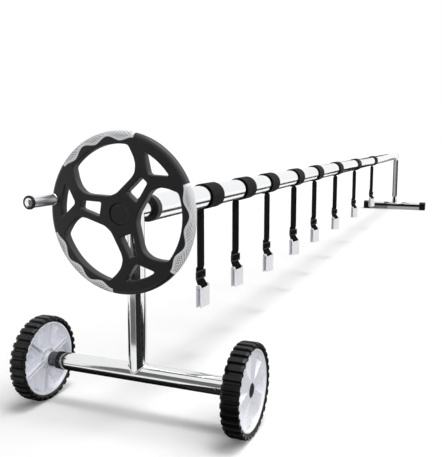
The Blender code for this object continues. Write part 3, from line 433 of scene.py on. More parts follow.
class ReelColours(bpy.types.PropertyGroup):
    """Colours of the reel's finishes."""

    steel: colour("Stand steel", "Polished stainless steel of the stands", "#eceded")
    aluminium: colour("Reel aluminium", "Bright anodised aluminium of the reel", "#f4f5f6")
    shaft: colour("Shaft steel", "Turned steel of the shafts", "#b4b6b9")
    zinc: colour("Screw zinc", "Bright plating of the screws", "#c3c5c8")
    chrome: colour("Crank chrome", "Plating of the crank's socket and end cap", "#e9eaec")
    knurled: colour("Grip chrome", "Plating of the crank's patterned grip", "#eeeff1")
    black: colour("Handwheel black", "Moulded plastic of the handwheel", "#19191c")
    dark: colour("Dark plastic", "Plastic of plugs, buckles and foot caps", "#0b0b0c")
    grey: colour("Grey plastic", "Plastic of the axle plugs", "#606266")
    silver: colour("Grip silver", "Painted soft grips on the handwheel", "#eeeff2")
    white: colour("Wheel white", "Plastic of the wheel rims", "#eeeff6")
    tab: colour("Tab white", "Plastic of the straps' tabs", "#f4f4ff")
    rubber: colour("Tyre black", "Rubber of the tyres", "#060607")
    webbing: colour("Webbing black", "Yarn of the straps and cuffs", "#070708")
    thread: colour("Thread black", "Thread of the straps' stitching", "#2b2b2e")


class ReelStage(bpy.types.PropertyGroup):
    """Camera and light."""

    lens: FloatProperty(
        name="Lens", description="Focal length of the camera in millimetres", default=49.56, unit="CAMERA")
    ambient: strength("Ambient light", "Strength of the even light from all round", 0.22)
    high: strength("High front light", "Strength of the narrower light from above the camera's side", 1.7)
    fill: strength("Low front light", "Strength of the soft level light from the camera's side", 1.5)
    key: strength("Overhead light", "Strength of the soft light from above", 1.0)


# Noise on Object coordinates, in waves per metre
Noise = namedtuple("Noise", "scale detail stretch", defaults=(3.0, None))
DRAWN_LINES = Noise(1400.0, 2.0, (0.004, 1.0, 1.0))
LATHE_RINGS = Noise(1600.0, 2.0, (1.0, 0.02, 0.02))

# Finishes spread by noise: title, colour setting, roughness (noise, lowest, highest), mottling (noise, share
# of brightness), relief (noise, strength, depth), and other inputs of the shader
PLAIN_FINISHES = {
    # Polished stainless steel tube: mirror-like, with a faint cloudiness left by the polishing wheel
    "stand_steel": dict(
        title="polished_stainless", shade="steel", rough=(Noise(45.0), 0.05, 0.13),
        mottle=(Noise(12.0), 0.94), relief=(Noise(900.0), 0.10, 0.00002), Metallic=1.0),
    # Bright-dipped anodised aluminium: a little softer than chrome, drawn lines along the tube
    "reel_aluminium": dict(
        title="bright_anodised_aluminium", shade="aluminium", rough=(Noise(30.0), 0.08, 0.16),
        mottle=(DRAWN_LINES, 0.95), relief=(DRAWN_LINES, 0.08, 0.00002), Metallic=1.0),
    # Turned steel shaft: duller grey metal with fine rings from the lathe
    "shaft_steel": dict(
        title="turned_steel_shaft", shade="shaft", rough=(Noise(60.0), 0.24, 0.40),
        relief=(LATHE_RINGS, 0.25, 0.00003), Metallic=1.0),
    # Bright zinc plating on screws: slightly milky grey metal
    "screw_zinc": dict(
        title="zinc_plated_screw", shade="zinc", rough=(Noise(500.0), 0.18, 0.36), Metallic=1.0),
    # Chrome-plated ABS: very bright, a breath of orange peel in the plating
    "chromed_plastic": dict(
        title="chrome_plated_plastic", shade="chrome", rough=(Noise(80.0), 0.05, 0.11),
        relief=(Noise(260.0, 1.0), 0.05, 0.00006), Metallic=1.0),
    # The same plating over the knurled grip: blunted by the fine pattern
    "knurled_chrome": dict(
        title="knurled_chrome_plating", shade="knurled", rough=(Noise(80.0), 0.26, 0.36), Metallic=1.0),
    # Moulded black ABS of the handwheel: satin, with a fine spark-eroded grain about 0.4 mm across
    "black_plastic": dict(
        title="satin_black_abs", shade="black", rough=(Noise(70.0), 0.34, 0.48), mottle=(Noise(35.0), 0.86),
        relief=(Noise(2500.0, 2.0), 0.22, 0.00006), IOR=1.53, Specular_IOR_Level=0.4),
    # Glass-filled nylon of plugs, buckles and caps: near black, slightly rough and mottled
    "dark_plastic": dict(
        title="black_filled_nylon", shade="dark", rough=(Noise(160.0), 0.38, 0.56),
        mottle=(Noise(90.0), 0.75), relief=(Noise(1800.0), 0.25, 0.00008), IOR=1.53, Specular_IOR_Level=0.35),
    # Grey polypropylene of the axle plugs: half matt, with flow marks from moulding
    "grey_plastic": dict(
        title="grey_polypropylene", shade="grey", rough=(Noise(110.0), 0.20, 0.34),
        mottle=(Noise(60.0), 0.72), relief=(Noise(1500.0), 0.20, 0.00006), IOR=1.49),
    # White ABS of the rims: glossy from the mould, faintly uneven, with a cool cast
    "white_plastic": dict(
        title="white_abs", shade="white", rough=(Noise(50.0), 0.22, 0.36), mottle=(Noise(18.0), 0.93),
        relief=(Noise(300.0), 0.10, 0.00005), IOR=1.53),
    # Natural polypropylene of the tabs: waxy, lets a little light into its surface
    "tab_plastic": dict(
        title="waxy_white_polypropylene", shade="tab", mottle=(Noise(40.0), 0.94),
        relief=(Noise(700.0), 0.12, 0.00006), Roughness=0.38, IOR=1.49, Subsurface_Weight=0.7,
        Subsurface_Radius=(1.0, 1.0, 1.0), Subsurface_Scale=0.006),
    # Moulded tyre rubber: black, half dull, with a grain about 1 mm across
    "tyre_rubber": dict(
        title="moulded_tyre_rubber", shade="rubber", rough=(Noise(120.0), 0.30, 0.46),
        mottle=(Noise(60.0), 0.6), relief=(Noise(1100.0), 0.35, 0.0001), IOR=1.52, Specular_IOR_Level=0.30),
    # Polyester thread of the stitching: a lighter black with a soft shine
    "thread": dict(
        title="black_polyester_thread", shade="thread", relief=(Noise(2600.0), 0.3, 0.00008), Roughness=0.45,
        IOR=1.5),
}

# Pressed dots of the silver grips: spacing, spread, turn of their grid in degrees, where a dot's edge begins
# and ends, brightness of the painted shade inside them, strength and depth
DOT_SPACING = 0.0058
DOT_SPREAD = 0.12
DOT_LAY = 45.0
DOT_EDGE = (0.24, 0.40)
DOT_PAINTED_SHADE = 0.22
DOT_RELIEF = (0.9, 0.0004)

# Webbing: cords along it, yarns across it, brightness of the painted shade in the gaps between them, strength
# and
# depth, and the two finishes: hardly any shine where it hangs, a little more where it is wound tight
CORD_SPACING = 0.0017
YARN_SPACING = 0.0012
WEAVE_PAINTED_SHADE = 0.45
WEAVE_RELIEF = (0.8, 0.0003)
WEBBING_FINISHES = (("webbing", "woven_black_webbing", 0.03), ("wound_webbing", "wound_black_webbing", 0.09))
FINISHES = {}


def add_node(tree, kind, settings=None, links=None):
    """Add a node; settings name its properties (a dot first) or inputs, links name inputs and sockets."""
    node = tree.nodes.new(kind)
    for key, value in (settings or {}).items():
        if isinstance(key, str) and key.startswith("."):
            setattr(node, key[1:], value)
        else:
            node.inputs[key].default_value = value
    for key, socket in (links or {}).items():
        tree.links.new(socket, node.inputs[key])
    return node


def math_node(tree, operation, *values):
    """Result of a math node; each value is a number or another node's output."""
    node = tree.nodes.new("ShaderNodeMath")
    node.operation = operation
    for value, entry in zip(values, node.inputs):
        if isinstance(value, float):
            entry.default_value = value
        else:
            tree.links.new(value, entry)
    return node.outputs["Value"]


def new_finish(name, shade, **settings):
    """Material with one Principled shader; other settings are its inputs by name."""
    material = bpy.data.materials.new(name)
    material.use_nodes = True
    tree = material.node_tree
    shader = tree.nodes["Principled BSDF"]
    shader.inputs["Base Color"].default_value = (*shade, 1.0)
    for key, value in settings.items():
        shader.inputs[key.replace("_", " ")].default_value = value
    return material, tree, shader


def noise_between(tree, coordinates, kind, low=0.0, high=1.0):
    """Noise spread between two values."""
    if kind.stretch:
        mapping = add_node(tree, "ShaderNodeMapping", {"Scale": kind.stretch}, {"Vector": coordinates})
        coordinates = mapping.outputs["Vector"]
    settings = {"Scale": kind.scale, "Detail": kind.detail}
    noise = add_node(tree, "ShaderNodeTexNoise", settings, {"Vector": coordinates})
    limits = {"To Min": low, "To Max": high}
    spread = add_node(tree, "ShaderNodeMapRange", limits, {"Value": noise.outputs["Fac"]})
    return spread.outputs["Result"]


def colour_mix(tree, factor, first, second):
    """Colour that runs from one colour to another with the factor."""
    mix = add_node(tree, "ShaderNodeMix", {".data_type": "RGBA"})
    factor_entry, first_entry, second_entry = mix.inputs[0], mix.inputs[6], mix.inputs[7]
    first_entry.default_value = (*first, 1.0)
    second_entry.default_value = (*second, 1.0)
    tree.links.new(factor, factor_entry)
    return mix.outputs[2]


def bump(tree, shader, height, strength, distance):
    """Bump from a height; distance is the real depth in metres at height 1."""
    node = add_node(tree, "ShaderNodeBump", {"Strength": strength, "Distance": distance}, {"Height": height})
    tree.links.new(node.outputs["Normal"], shader.inputs["Normal"])


def darker(colour, share):
    """Colour at a share of its brightness."""
    return tuple(channel * share for channel in colour)


def plain_finish(title, shade, rough=None, mottle=None, relief=None, **settings):
    """Material with its roughness, colour and relief spread by noise on Object coordinates."""
    shade = getattr(bpy.context.scene.reel_colours, shade)
    material, tree, shader = new_finish(title, shade, **settings)
    where = add_node(tree, "ShaderNodeTexCoord").outputs["Object"]
    if rough:
        tree.links.new(noise_between(tree, where, *rough), shader.inputs["Roughness"])
    if mottle:
        mixed = colour_mix(tree, noise_between(tree, where, mottle[0]), shade, darker(shade, mottle[1]))
        tree.links.new(mixed, shader.inputs["Base Color"])
    if relief:
        bump(tree, shader, noise_between(tree, where, relief[0]), *relief[1:])
    return material


def grip_finish(silver):
    """Silver-painted soft grip: satin paint, with painted shade darkening the small pressed dots, which lie
    in a turned grid.
    """
    material, tree, shader = new_finish("silver_painted_grip", silver, Roughness=0.42, IOR=1.5)
    lie = add_node(tree, "ShaderNodeAttribute", {".attribute_name": "grip_lie"}).outputs["Vector"]
    shown = add_node(tree, "ShaderNodeSeparateXYZ", None, {"Vector": lie}).outputs["Z"]
    turn = (0.0, 0.0, math.radians(DOT_LAY))
    turned = add_node(tree, "ShaderNodeMapping", {"Rotation": turn}, {"Vector": lie})
    dots = add_node(tree, "ShaderNodeTexVoronoi",
                    {".voronoi_dimensions": "2D", "Scale": 1.0 / DOT_SPACING, "Randomness": DOT_SPREAD},
                    {"Vector": turned.outputs["Vector"]})
    near, far = DOT_EDGE
    shape = add_node(tree, "ShaderNodeMapRange",
                     {".interpolation_type": "SMOOTHSTEP", "From Min": near, "From Max": far,
                      "To Min": 1.0, "To Max": 0.0},
                     {"Value": dots.outputs["Distance"]})
    dotted = math_node(tree, "MULTIPLY", shape.outputs["Result"], shown)
    # Painted shade: the inside of each pressed dot takes a darker silver
    tree.links.new(colour_mix(tree, dotted, silver, darker(silver, DOT_PAINTED_SHADE)), shader.inputs["Base Color"])
    bump(tree, shader, math_node(tree, "MULTIPLY", dotted, -1.0), *DOT_RELIEF)
    return material


def webbing_finish(title, black, shine):
    """Woven polypropylene webbing with cords c apart and yarns s apart, and painted shade darkening the gaps
    between them.

    The height is |sin(pi x / c)| |sin(pi y / s + pi x / 2 c)|.
    """
    material, tree, shader = new_finish(title, black, Roughness=0.62, IOR=1.49, Specular_IOR_Level=shine)
    lie = add_node(tree, "ShaderNodeAttribute", {".attribute_name": "weave_lie"})
    split = add_node(tree, "ShaderNodeSeparateXYZ", None, {"Vector": lie.outputs["Vector"]})
    across = math_node(tree, "MULTIPLY", split.outputs["X"], math.pi / CORD_SPACING)
    along = math_node(tree, "MULTIPLY", split.outputs["Y"], math.pi / YARN_SPACING)
    shifted = math_node(tree, "ADD", along, math_node(tree, "MULTIPLY", across, 0.5))
    waves = [math_node(tree, "ABSOLUTE", math_node(tree, "SINE", angle)) for angle in (across, shifted)]
    weave = math_node(tree, "MULTIPLY", *waves)
    # Painted shade: the low gaps between cords and yarns take a darker black
    tree.links.new(colour_mix(tree, weave, darker(black, WEAVE_PAINTED_SHADE), black), shader.inputs["Base Color"])
    bump(tree, shader, weave, *WEAVE_RELIEF)
    return material


def finish(name):
    """Material by the name of its finish; all are made the first time one is asked for."""
    if not FINISHES:
        colours = bpy.context.scene.reel_colours
        for key, row in PLAIN_FINISHES.items():
            FINISHES[key] = plain_finish(**row)
        FINISHES["silver_grip"] = grip_finish(colours.silver)
        for key, title, shine in WEBBING_FINISHES:
            FINISHES[key] = webbing_finish(title, colours.webbing, shine)
    return FINISHES[name]


# Stand tubes
STAND_RADIUS = 0.0254
STAND_WALL = 0.0018
REAR_BASE_RADIUS = 0.038
REAR_BASE_WALL = 0.0020
SHAFT_RADIUS = 0.0125
SLEEVE_BORE = 0.0127
SLEEVE_EDGE = 0.0012
FLARE_LENGTH = 0.0050
POST_ROWS = 24

# Heights over a post's foot where its rows lie: close together in the flare, then wider
POST_FOOT_ROWS = np.concatenate((np.linspace(0.0, FLARE_LENGTH, 9), np.linspace(0.008, 0.030, 4)))

# Axle plugs, seen between the base tube and the wheels
PLUG_FLANGE_RADIUS = 0.0250
PLUG_BOSS_RADIUS = 0.0215
PLUG_FLANGE_THICKNESS = 0.0060
PLUG_BOSS_LENGTH = 0.0225
PLUG_SPIGOT = 0.0350
PLUG_EDGE = 0.0010
SPINDLE_RADIUS = 0.0095
BOSS_SCREW_FROM_END = 0.0100

# Screws: domed heads with a cross recess, whose sizes are shares of the head's radius
SCREW_SIDES = 48
SCREW_RINGS = 22
SCREW_HEAD_RADIUS = 0.0045
SCREW_HEAD_HEIGHT = 0.0024
SCREW_DOME_DROP = 0.45
SCREW_TWIST = (0.31, 0.17, 0.93)
CROSS_REACH = 0.62
CROSS_HALF_WIDTH = 0.13
CROSS_SIDE_SLOPE = 0.05
CROSS_END_SLOPE = 0.08
CROSS_DEPTH = 0.0011


def stand_tube(name, node, radius, wall_thickness, body):
    """Base tube of a stand with softened cut ends."""
    low, high = along_range(node, "Y")
    profile = pipe(radius, radius - wall_thickness, low, high, bpy.context.scene.reel_sizes.tube_edge)
    spot = middle(node)
    return turned_piece(name, node, profile, (spot.x, 0.0, spot.z), "stand_steel", body, "Y", TUBE_SIDES)


def sleeve(name, node, body):
    """Bearing tube across the top of a post, with softened ends and a bore for the shaft."""
    profile = pipe(STAND_RADIUS, SLEEVE_BORE, *along_range(node, "X"), SLEEVE_EDGE)
    return turned_piece(name, node, profile, REEL_AXIS, "stand_steel", body, sides=TUBE_SIDES)


def post(name, node, x, base_z, base_radius, body):
    """Upright tube between two saddles: z runs from the base tube's curve up to the sleeve's curve.

    The lower edge is base z + sqrt(R^2 - x^2), the upper one sleeve z - sqrt(R^2 - y^2), and the radius
    swells by flare (1 - d/L)^2 within L of the lower edge, as the ground-down weld does.
    """
    flare = bpy.context.scene.reel_sizes.weld_flare
    turn = full_turn(TUBE_SIDES)
    clear = POST_FOOT_ROWS[-1]
    share = np.linspace(0.0, 1.0, POST_ROWS)[:, None]
    rows = []
    for radius, swells, order in ((STAND_RADIUS, flare, 1), (STAND_RADIUS - STAND_WALL, 0.0, -1)):
        foot = base_z + np.sqrt((base_radius + GAP) ** 2 - (radius * np.cos(turn)) ** 2)
        head = REEL_Z - np.sqrt((STAND_RADIUS + GAP) ** 2 - (radius * np.sin(turn)) ** 2)
        upper = foot + clear + share * (head - foot - clear)
        height = np.concatenate((foot + POST_FOOT_ROWS[:-1, None], upper))
        reach = radius + swells * np.clip(1.0 - (height - foot) / FLARE_LENGTH, 0.0, 1.0) ** 2
        rows.append(np.stack((x + reach * np.cos(turn), reach * np.sin(turn), height), axis=-1)[::order])
    surface = Surface()
    surface.grid(np.concatenate(rows), loop_rows=True, loop_columns=True)
    return make_piece(name, surface, "stand_steel", body, [node])


def screw(name, node, centre, direction, seat, body):
    """Visible head of a screw on the skin of a tube whose middle is the centre.

    Its height is H (1 - 0.45 (r/R)^4) less a cross-shaped dip.
    """
    out = unit(direction)
    first = unit(np.cross(out, SCREW_TWIST))
    place = local_frame(np.array(centre) + out * seat, first, np.cross(out, first), out)
    share = np.linspace(0.0, 1.0, SCREW_RINGS)[:, None]
    turn = full_turn(SCREW_SIDES)
    a, b = share * np.cos(turn), share * np.sin(turn)
    narrow, long = np.sort((np.abs(a), np.abs(b)), axis=0)
    dip = (np.clip((CROSS_HALF_WIDTH - narrow) / CROSS_SIDE_SLOPE, 0.0, 1.0)
           * np.clip((CROSS_REACH - long) / CROSS_END_SLOPE, 0.0, 1.0))
    dome = SCREW_HEAD_HEIGHT * (1.0 - SCREW_DOME_DROP * share ** 4) - CROSS_DEPTH * dip
    top = np.stack((a * SCREW_HEAD_RADIUS, b * SCREW_HEAD_RADIUS, dome), axis=-1)
    seat_ring = top[-1:] * (1.0, 1.0, 0.0)
    surface = Surface()
    surface.grid(place(np.concatenate((top, seat_ring, 0.0 * seat_ring))), loop_columns=True)
    return make_piece(name, surface, "screw_zinc", body, [node] if node else ())


class REEL_OT_front_stand(bpy.types.Operator):
    """Base tube, post, bearing sleeve, axle plugs and screws of the front stand"""

    bl_idname = "reel.front_stand"
    bl_label = "Front stand"

    def execute(self, context):
        """Build the front stand's pieces."""
        body = "front_stand"
        stand_tube("base_tube_front", "front_base_tube", STAND_RADIUS, STAND_WALL, body)
        post("post_front", "front_post", POST_X, AXLE_Z, STAND_RADIUS, body)
        sleeve("sleeve_front", "front_sleeve", body)
        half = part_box("front_base_tube")[1].y
        flange_end = half + GAP + PLUG_FLANGE_THICKNESS
        boss_end = flange_end + PLUG_BOSS_LENGTH
        spindle_end = max(abs(value) for value in along_range("axle_plug_left", "Y"))
        inner = STAND_RADIUS - STAND_WALL - 2.0 * GAP
        plug = soften([
            (0.0, half - PLUG_SPIGOT, 0.0),
            (inner, half - PLUG_SPIGOT, PLUG_EDGE),
            (inner, half + GAP, 0.0),
            (PLUG_FLANGE_RADIUS, half + GAP, 0.0006),
            (PLUG_FLANGE_RADIUS, flange_end, 0.0012),
            (PLUG_BOSS_RADIUS, flange_end, PLUG_EDGE),
            (PLUG_BOSS_RADIUS, boss_end, PLUG_EDGE),
            (SPINDLE_RADIUS, boss_end, 0.0),
            (SPINDLE_RADIUS, spindle_end, 0.0008),
            (0.0, spindle_end, 0.0),
        ])
        out = (-1.0, 0.0, 0.0)
        for side, label in ((1.0, "left"), (-1.0, "right")):
            turned_piece("plug_" + label, "axle_plug_" + label, plug * (1.0, side), (POST_X, 0.0, AXLE_Z),
                         "grey_plastic", body, "Y", TUBE_SIDES)
            at_tube = (POST_X, side * (half - PLUG_SPIGOT / 2.0), AXLE_Z)
            screw("base_screw_" + label, "axle_screw_" + label, at_tube, out, STAND_RADIUS + GAP, body)
            at_boss = (POST_X, side * (boss_end - BOSS_SCREW_FROM_END), AXLE_Z)
            screw("boss_screw_" + label, None, at_boss, out, PLUG_BOSS_RADIUS, body)
        return {"FINISHED"}


# Square foot caps of the rear stand
FOOT_HALF = 0.0413
FOOT_CORNER = 0.0220
FOOT_EDGE = 0.0035
FOOT_MOUTH_SHARE = 0.3
FOOT_END_WALL = 0.0040


class REEL_OT_rear_stand(bpy.types.Operator):
    """Base tube, foot caps, post and bearing sleeve of the rear stand"""

    bl_idname = "reel.rear_stand"
    bl_label = "Rear stand"

    def execute(self, context):
        """Build the rear stand's pieces."""
        body = "rear_stand"
        stand_tube("base_tube_rear", "rear_base_tube", REAR_BASE_RADIUS, REAR_BASE_WALL, body)
        post("post_rear", "rear_post", REAR_X, REAR_BASE_Z, REAR_BASE_RADIUS, body)
        sleeve("sleeve_rear", "rear_sleeve", body)
        outline = rounded_box(FOOT_HALF, FOOT_HALF, FOOT_CORNER, 12)
        bore = circle(REAR_BASE_RADIUS + GAP, RING_SIDES)
        for side, label in ((1.0, "left"), (-1.0, "right")):
            node = "rear_foot_cap_" + label
            inner_end, outer_end = sorted(abs(value) for value in along_range(node, "Y"))
            place = local_frame((REAR_X, 0.0, REAR_BASE_Z), (1, 0, 0), (0, 0, 1), (0, side, 0))
            surface = Surface()
            offsets, heights = edge_steps(FOOT_EDGE, inner_end + FOOT_EDGE, outer_end, steps=6)
            offsets = np.append(-offsets, FOOT_EDGE * FOOT_MOUTH_SHARE)
            end_ring, mouth_ring = wall(surface, outline, offsets, np.append(heights, inner_end), place)
            depth = outer_end - FOOT_END_WALL
            fill(surface, end_ring, [], outer_end, place)
            fill(surface, mouth_ring, [bore], inner_end, place)
            wall(surface, bore, (0.0, 0.0), (inner_end, depth), place)
            fill(surface, bore, [], depth, place)
            make_piece("foot_cap_" + label, surface, "dark_plastic", body, [node])
        return {"FINISHED"}


# Wheels; heights are measured outwards from the wheel's middle plane
WHEEL_RADIUS = 0.1250
TYRE_HALF = 0.0250
TYRE_INNER = 0.1083
SHOULDER = WHEEL_RADIUS - 0.0030
RIM_SIDES = 192

# Half section of the tyre from its inner edge to the tread: radius, distance from the middle plane, reach
TYRE_SECTION = (
    (TYRE_INNER, 0.0190, 0.0006),
    (TYRE_INNER + 0.0035, 0.0222, 0.0020),
    (SHOULDER - 0.0055, TYRE_HALF - 0.0004, 0.0020),
    (SHOULDER, TYRE_HALF, 0.0016),
    (WHEEL_RADIUS, TYRE_HALF * 0.70, 0.0020),
)

# Tread: a lug's flat top and the groove's floor as shares of a pitch, the columns, where the grooves fade out
LUG_TOP = 0.23
LUG_FOOT = 0.36
LUG_STATIONS = (-0.42, -0.36, -0.34, -0.315, -0.285, -0.26, -0.24, -0.22, -0.14, -0.05,
                0.05, 0.14, 0.22, 0.24, 0.26, 0.285, 0.315, 0.34, 0.36, 0.42)
GROOVE_END = SHOULDER - 0.0075
GROOVE_FADE = 0.0040

# Rim: face, back, lip, spokes and the ribs' plane
DISC_FACE = 0.0160
DISC_BACK = 0.0122
DISC_EDGE = 0.1000
LIP_FACE = 0.0210
LIP_INNER = 0.1030
LIP_OUTER = 0.1077
LIP_EDGE = 0.0010
SPOKE_ANGLE = 18.5
SECTOR = 60.0
NETWORK_EDGE = 0.1020
RIB_PLANE = -0.0158
RIM_EDGE = 0.0006

# Pockets, dots and the dash in the outer face
POCKET_APEX = 0.0290
POCKET_REACH = 0.0955
POCKET_HALF_ANGLE = 15.0
POCKET_EDGE = 0.0008
POCKET_CORNER = 0.0040
POCKET_TIP = 0.0030
POCKET_STEPS = 12
DOT_RADIUS = 0.0022
DOT_SIDES = 20
DOT_PLACE = 0.0830
DOT_DEPTH = 0.0026
DOT_EDGE_ROUND = 0.0005
DOT_DRAFT = 0.0003
DASH_ANGLE = -107.6
DASH_MIDDLE = 0.0952
DASH_HALVES = (0.0020, 0.0065)
DASH_CORNER = 0.0014

# Hub and the seat of its cap
HUB_RADIUS = 0.0152
HUB_BORE = 0.0098
HUB_BACK = -0.0290
CAP_RADIUS = 0.0190
CAP_SEAT = 0.0120

# Ribs on the inner side
RIB_SPREAD = 0.0058
CREASE_CLEARANCE = 0.0022
HUB_CELL_CLEARANCE = 0.0022
HUB_RING_INNER = 0.0290
HUB_RING_OUTER = 0.0316
CELL_OUTER = 0.0995
CELL_CORNER = 0.0020
CELL_CORNER_SHARE = 0.35
CELL_STEP = 0.0030


def smooth(share):
    """Share that starts and ends level: s^2 (3 - 2 s), held between 0 and 1."""
    share = np.clip(share, 0.0, 1.0)
    return share * share * (3.0 - 2.0 * share)


def tyre_piece(body, centre, name):
    """Tyre with block lugs: radius(t, s) = section(s) less the groove depth at t, faded out down the sides.

    Between the lugs the groove's share rises smoothly from 0 at LUG_TOP to 1 at LUG_FOOT of a pitch from the
    lug's middle. Each lug's top is flat, so its radius is R cos(half) / cos(t - middle).
    """
    sizes = bpy.context.scene.reel_sizes
    pitch = 2.0 * math.pi / sizes.lug_count
    stations = np.array(LUG_STATIONS)
    starts = -math.pi / 2.0 + pitch * np.arange(sizes.lug_count)
    angle = (starts[:, None] + pitch * stations).reshape(-1, 1)
    groove = np.tile(smooth((np.abs(stations) - LUG_TOP) / (LUG_FOOT - LUG_TOP)), sizes.lug_count)[:, None]
    within = np.tile(np.clip(stations, -LUG_TOP, LUG_TOP), sizes.lug_count)[:, None] * pitch
    flat = np.cos(LUG_TOP * pitch) / np.cos(within)
    section = [(radius, -along, reach) for radius, along, reach in TYRE_SECTION] + list(TYRE_SECTION[::-1])
    radius, along = soften(section, steps=4).T
    reach = smooth((radius - GROOVE_END) / GROOVE_FADE)
    tread = radius * (1.0 + (flat - 1.0) * reach) - sizes.lug_height * groove * reach
    points = np.stack((tread * np.cos(angle), along + 0.0 * tread, tread * np.sin(angle)), axis=-1)
    surface = Surface()
    surface.grid(np.array(centre) + points, loop_rows=True, loop_columns=True)
    return make_piece(name, surface, "tyre_rubber", body, [body + "_tyre"])


def cell(first, second, first_shift, second_shift, inner, outer):
    """Closed outline between two rib sides and two arcs; a side lies at a shift beside its spoke's line."""
    starts = [first + math.degrees(math.asin(first_shift / radius)) for radius in (inner, outer)]
    ends = [second + math.degrees(math.asin(second_shift / radius)) for radius in (inner, outer)]
    arcs = []
    for radius, begin, finish_angle in ((outer, starts[1], ends[1]), (inner, ends[0], starts[0])):
        length_round = radius * math.radians(abs(finish_angle - begin))
        steps = max(1, int(length_round / CELL_STEP))
        corner = min(CELL_CORNER, length_round * CELL_CORNER_SHARE)
        arcs.append(cornered_arc(radius, begin, finish_angle, steps, corner))
    return soften(np.concatenate(arcs), steps=3)


def rim_cells():
    """Outline, turn and creases of each hollow on a rim's inner side.

    The hollows lie between the ribs, inside and outside the hub ring, and the pockets of the outer face stand
    out in the large ones as ridges.
    """
    rib = bpy.context.scene.reel_sizes.rib_thickness / 2.0
    near, far = RIB_SPREAD - rib, RIB_SPREAD + rib
    along = np.linspace(HUB_RING_OUTER + CREASE_CLEARANCE, CELL_OUTER - CREASE_CLEARANCE, POCKET_STEPS)
    cells = []
    for spoke in spoke_angles():
        turn = spoke + SECTOR / 2.0
        creases = [turn_points(np.column_stack((along, way * (along - POCKET_APEX) * pocket_slope())), turn)
                   for way in (-1.0, 0.0, 1.0)]
        for inner, outer, lines in ((HUB_RADIUS + HUB_CELL_CLEARANCE, HUB_RING_INNER, ()),
                                    (HUB_RING_OUTER, CELL_OUTER, creases)):
            cells.append((cell(spoke, spoke, -near, near, inner, outer), turn, ()))
            cells.append((cell(spoke, spoke + SECTOR, far, -far, inner, outer), turn, lines))
    return cells


def spoke_angles():
    """Directions of a rim's spokes in degrees."""
    return [SPOKE_ANGLE + index * SECTOR for index in range(int(360.0 / SECTOR))]


def wedge(points, turn):
    """Depth at flat points of a pocket's two flat walls, which meet in a valley from its apex to the rim.

    It is D ((x - A) - |y| / tan(f)) / (R - A), and 0 where that is negative.
    """
    x, y = turn_points(points, -turn).T
    share = (x - POCKET_APEX - np.abs(y) / pocket_slope()) / (POCKET_REACH - POCKET_APEX)
    return bpy.context.scene.reel_sizes.pocket_depth * np.maximum(share, 0.0)


def pocket_slope():
    """Tangent of the angle between a pocket's middle line and its sides."""
    x, y = arc_points(POCKET_REACH, POCKET_HALF_ANGLE, POCKET_HALF_ANGLE, 0)[0]
    return y / (x - POCKET_APEX)


def hollow(surface, outline, round_size, face, level, place, creases=()):
    """Hollow with a rounded rim, upright sides and a floor that follows a function of its flat points."""
    offsets, heights = edge_steps(round_size, 0.0, 0.0)
    sign = 1.0 if face > 0.0 else -1.0
    top, ring = wall(surface, outline, offsets[:-1], face + sign * heights[:-1], place)
    foot = np.column_stack((ring, level(ring)))
    brink = np.column_stack((ring, np.full(len(ring), face + sign * heights[-2])))
    surface.grid(place(np.stack((brink, foot))), loop_columns=True)
    fill(surface, ring, [], level, place, creases)
    return top


def pocket(surface, turn, place):
    """Triangular pocket in a wheel's outer face, its point towards the hub."""
    rim_side = cornered_arc(POCKET_REACH, -POCKET_HALF_ANGLE, POCKET_HALF_ANGLE, 10, POCKET_CORNER)
    outline = soften(np.concatenate(([(POCKET_APEX, 0.0, POCKET_TIP)], rim_side)))
    along = np.linspace(POCKET_APEX + POCKET_TIP, POCKET_REACH - POCKET_EDGE, POCKET_STEPS)
    valley = turn_points(np.column_stack((along, 0.0 * along)), turn)
    return hollow(surface, turn_points(outline, turn), POCKET_EDGE, DISC_FACE,
                  lambda points: DISC_FACE - POCKET_EDGE - wedge(points, turn), place, [valley])


def dimple(surface, outline, place):
    """Shallow mark in a wheel's outer face."""
    floor = DISC_FACE - DOT_DEPTH
    top, bottom = wall(surface, outline, *edge_steps(DOT_EDGE_ROUND, floor, DISC_FACE, DOT_DRAFT), place)
    fill(surface, bottom, [], floor, place)
    return top


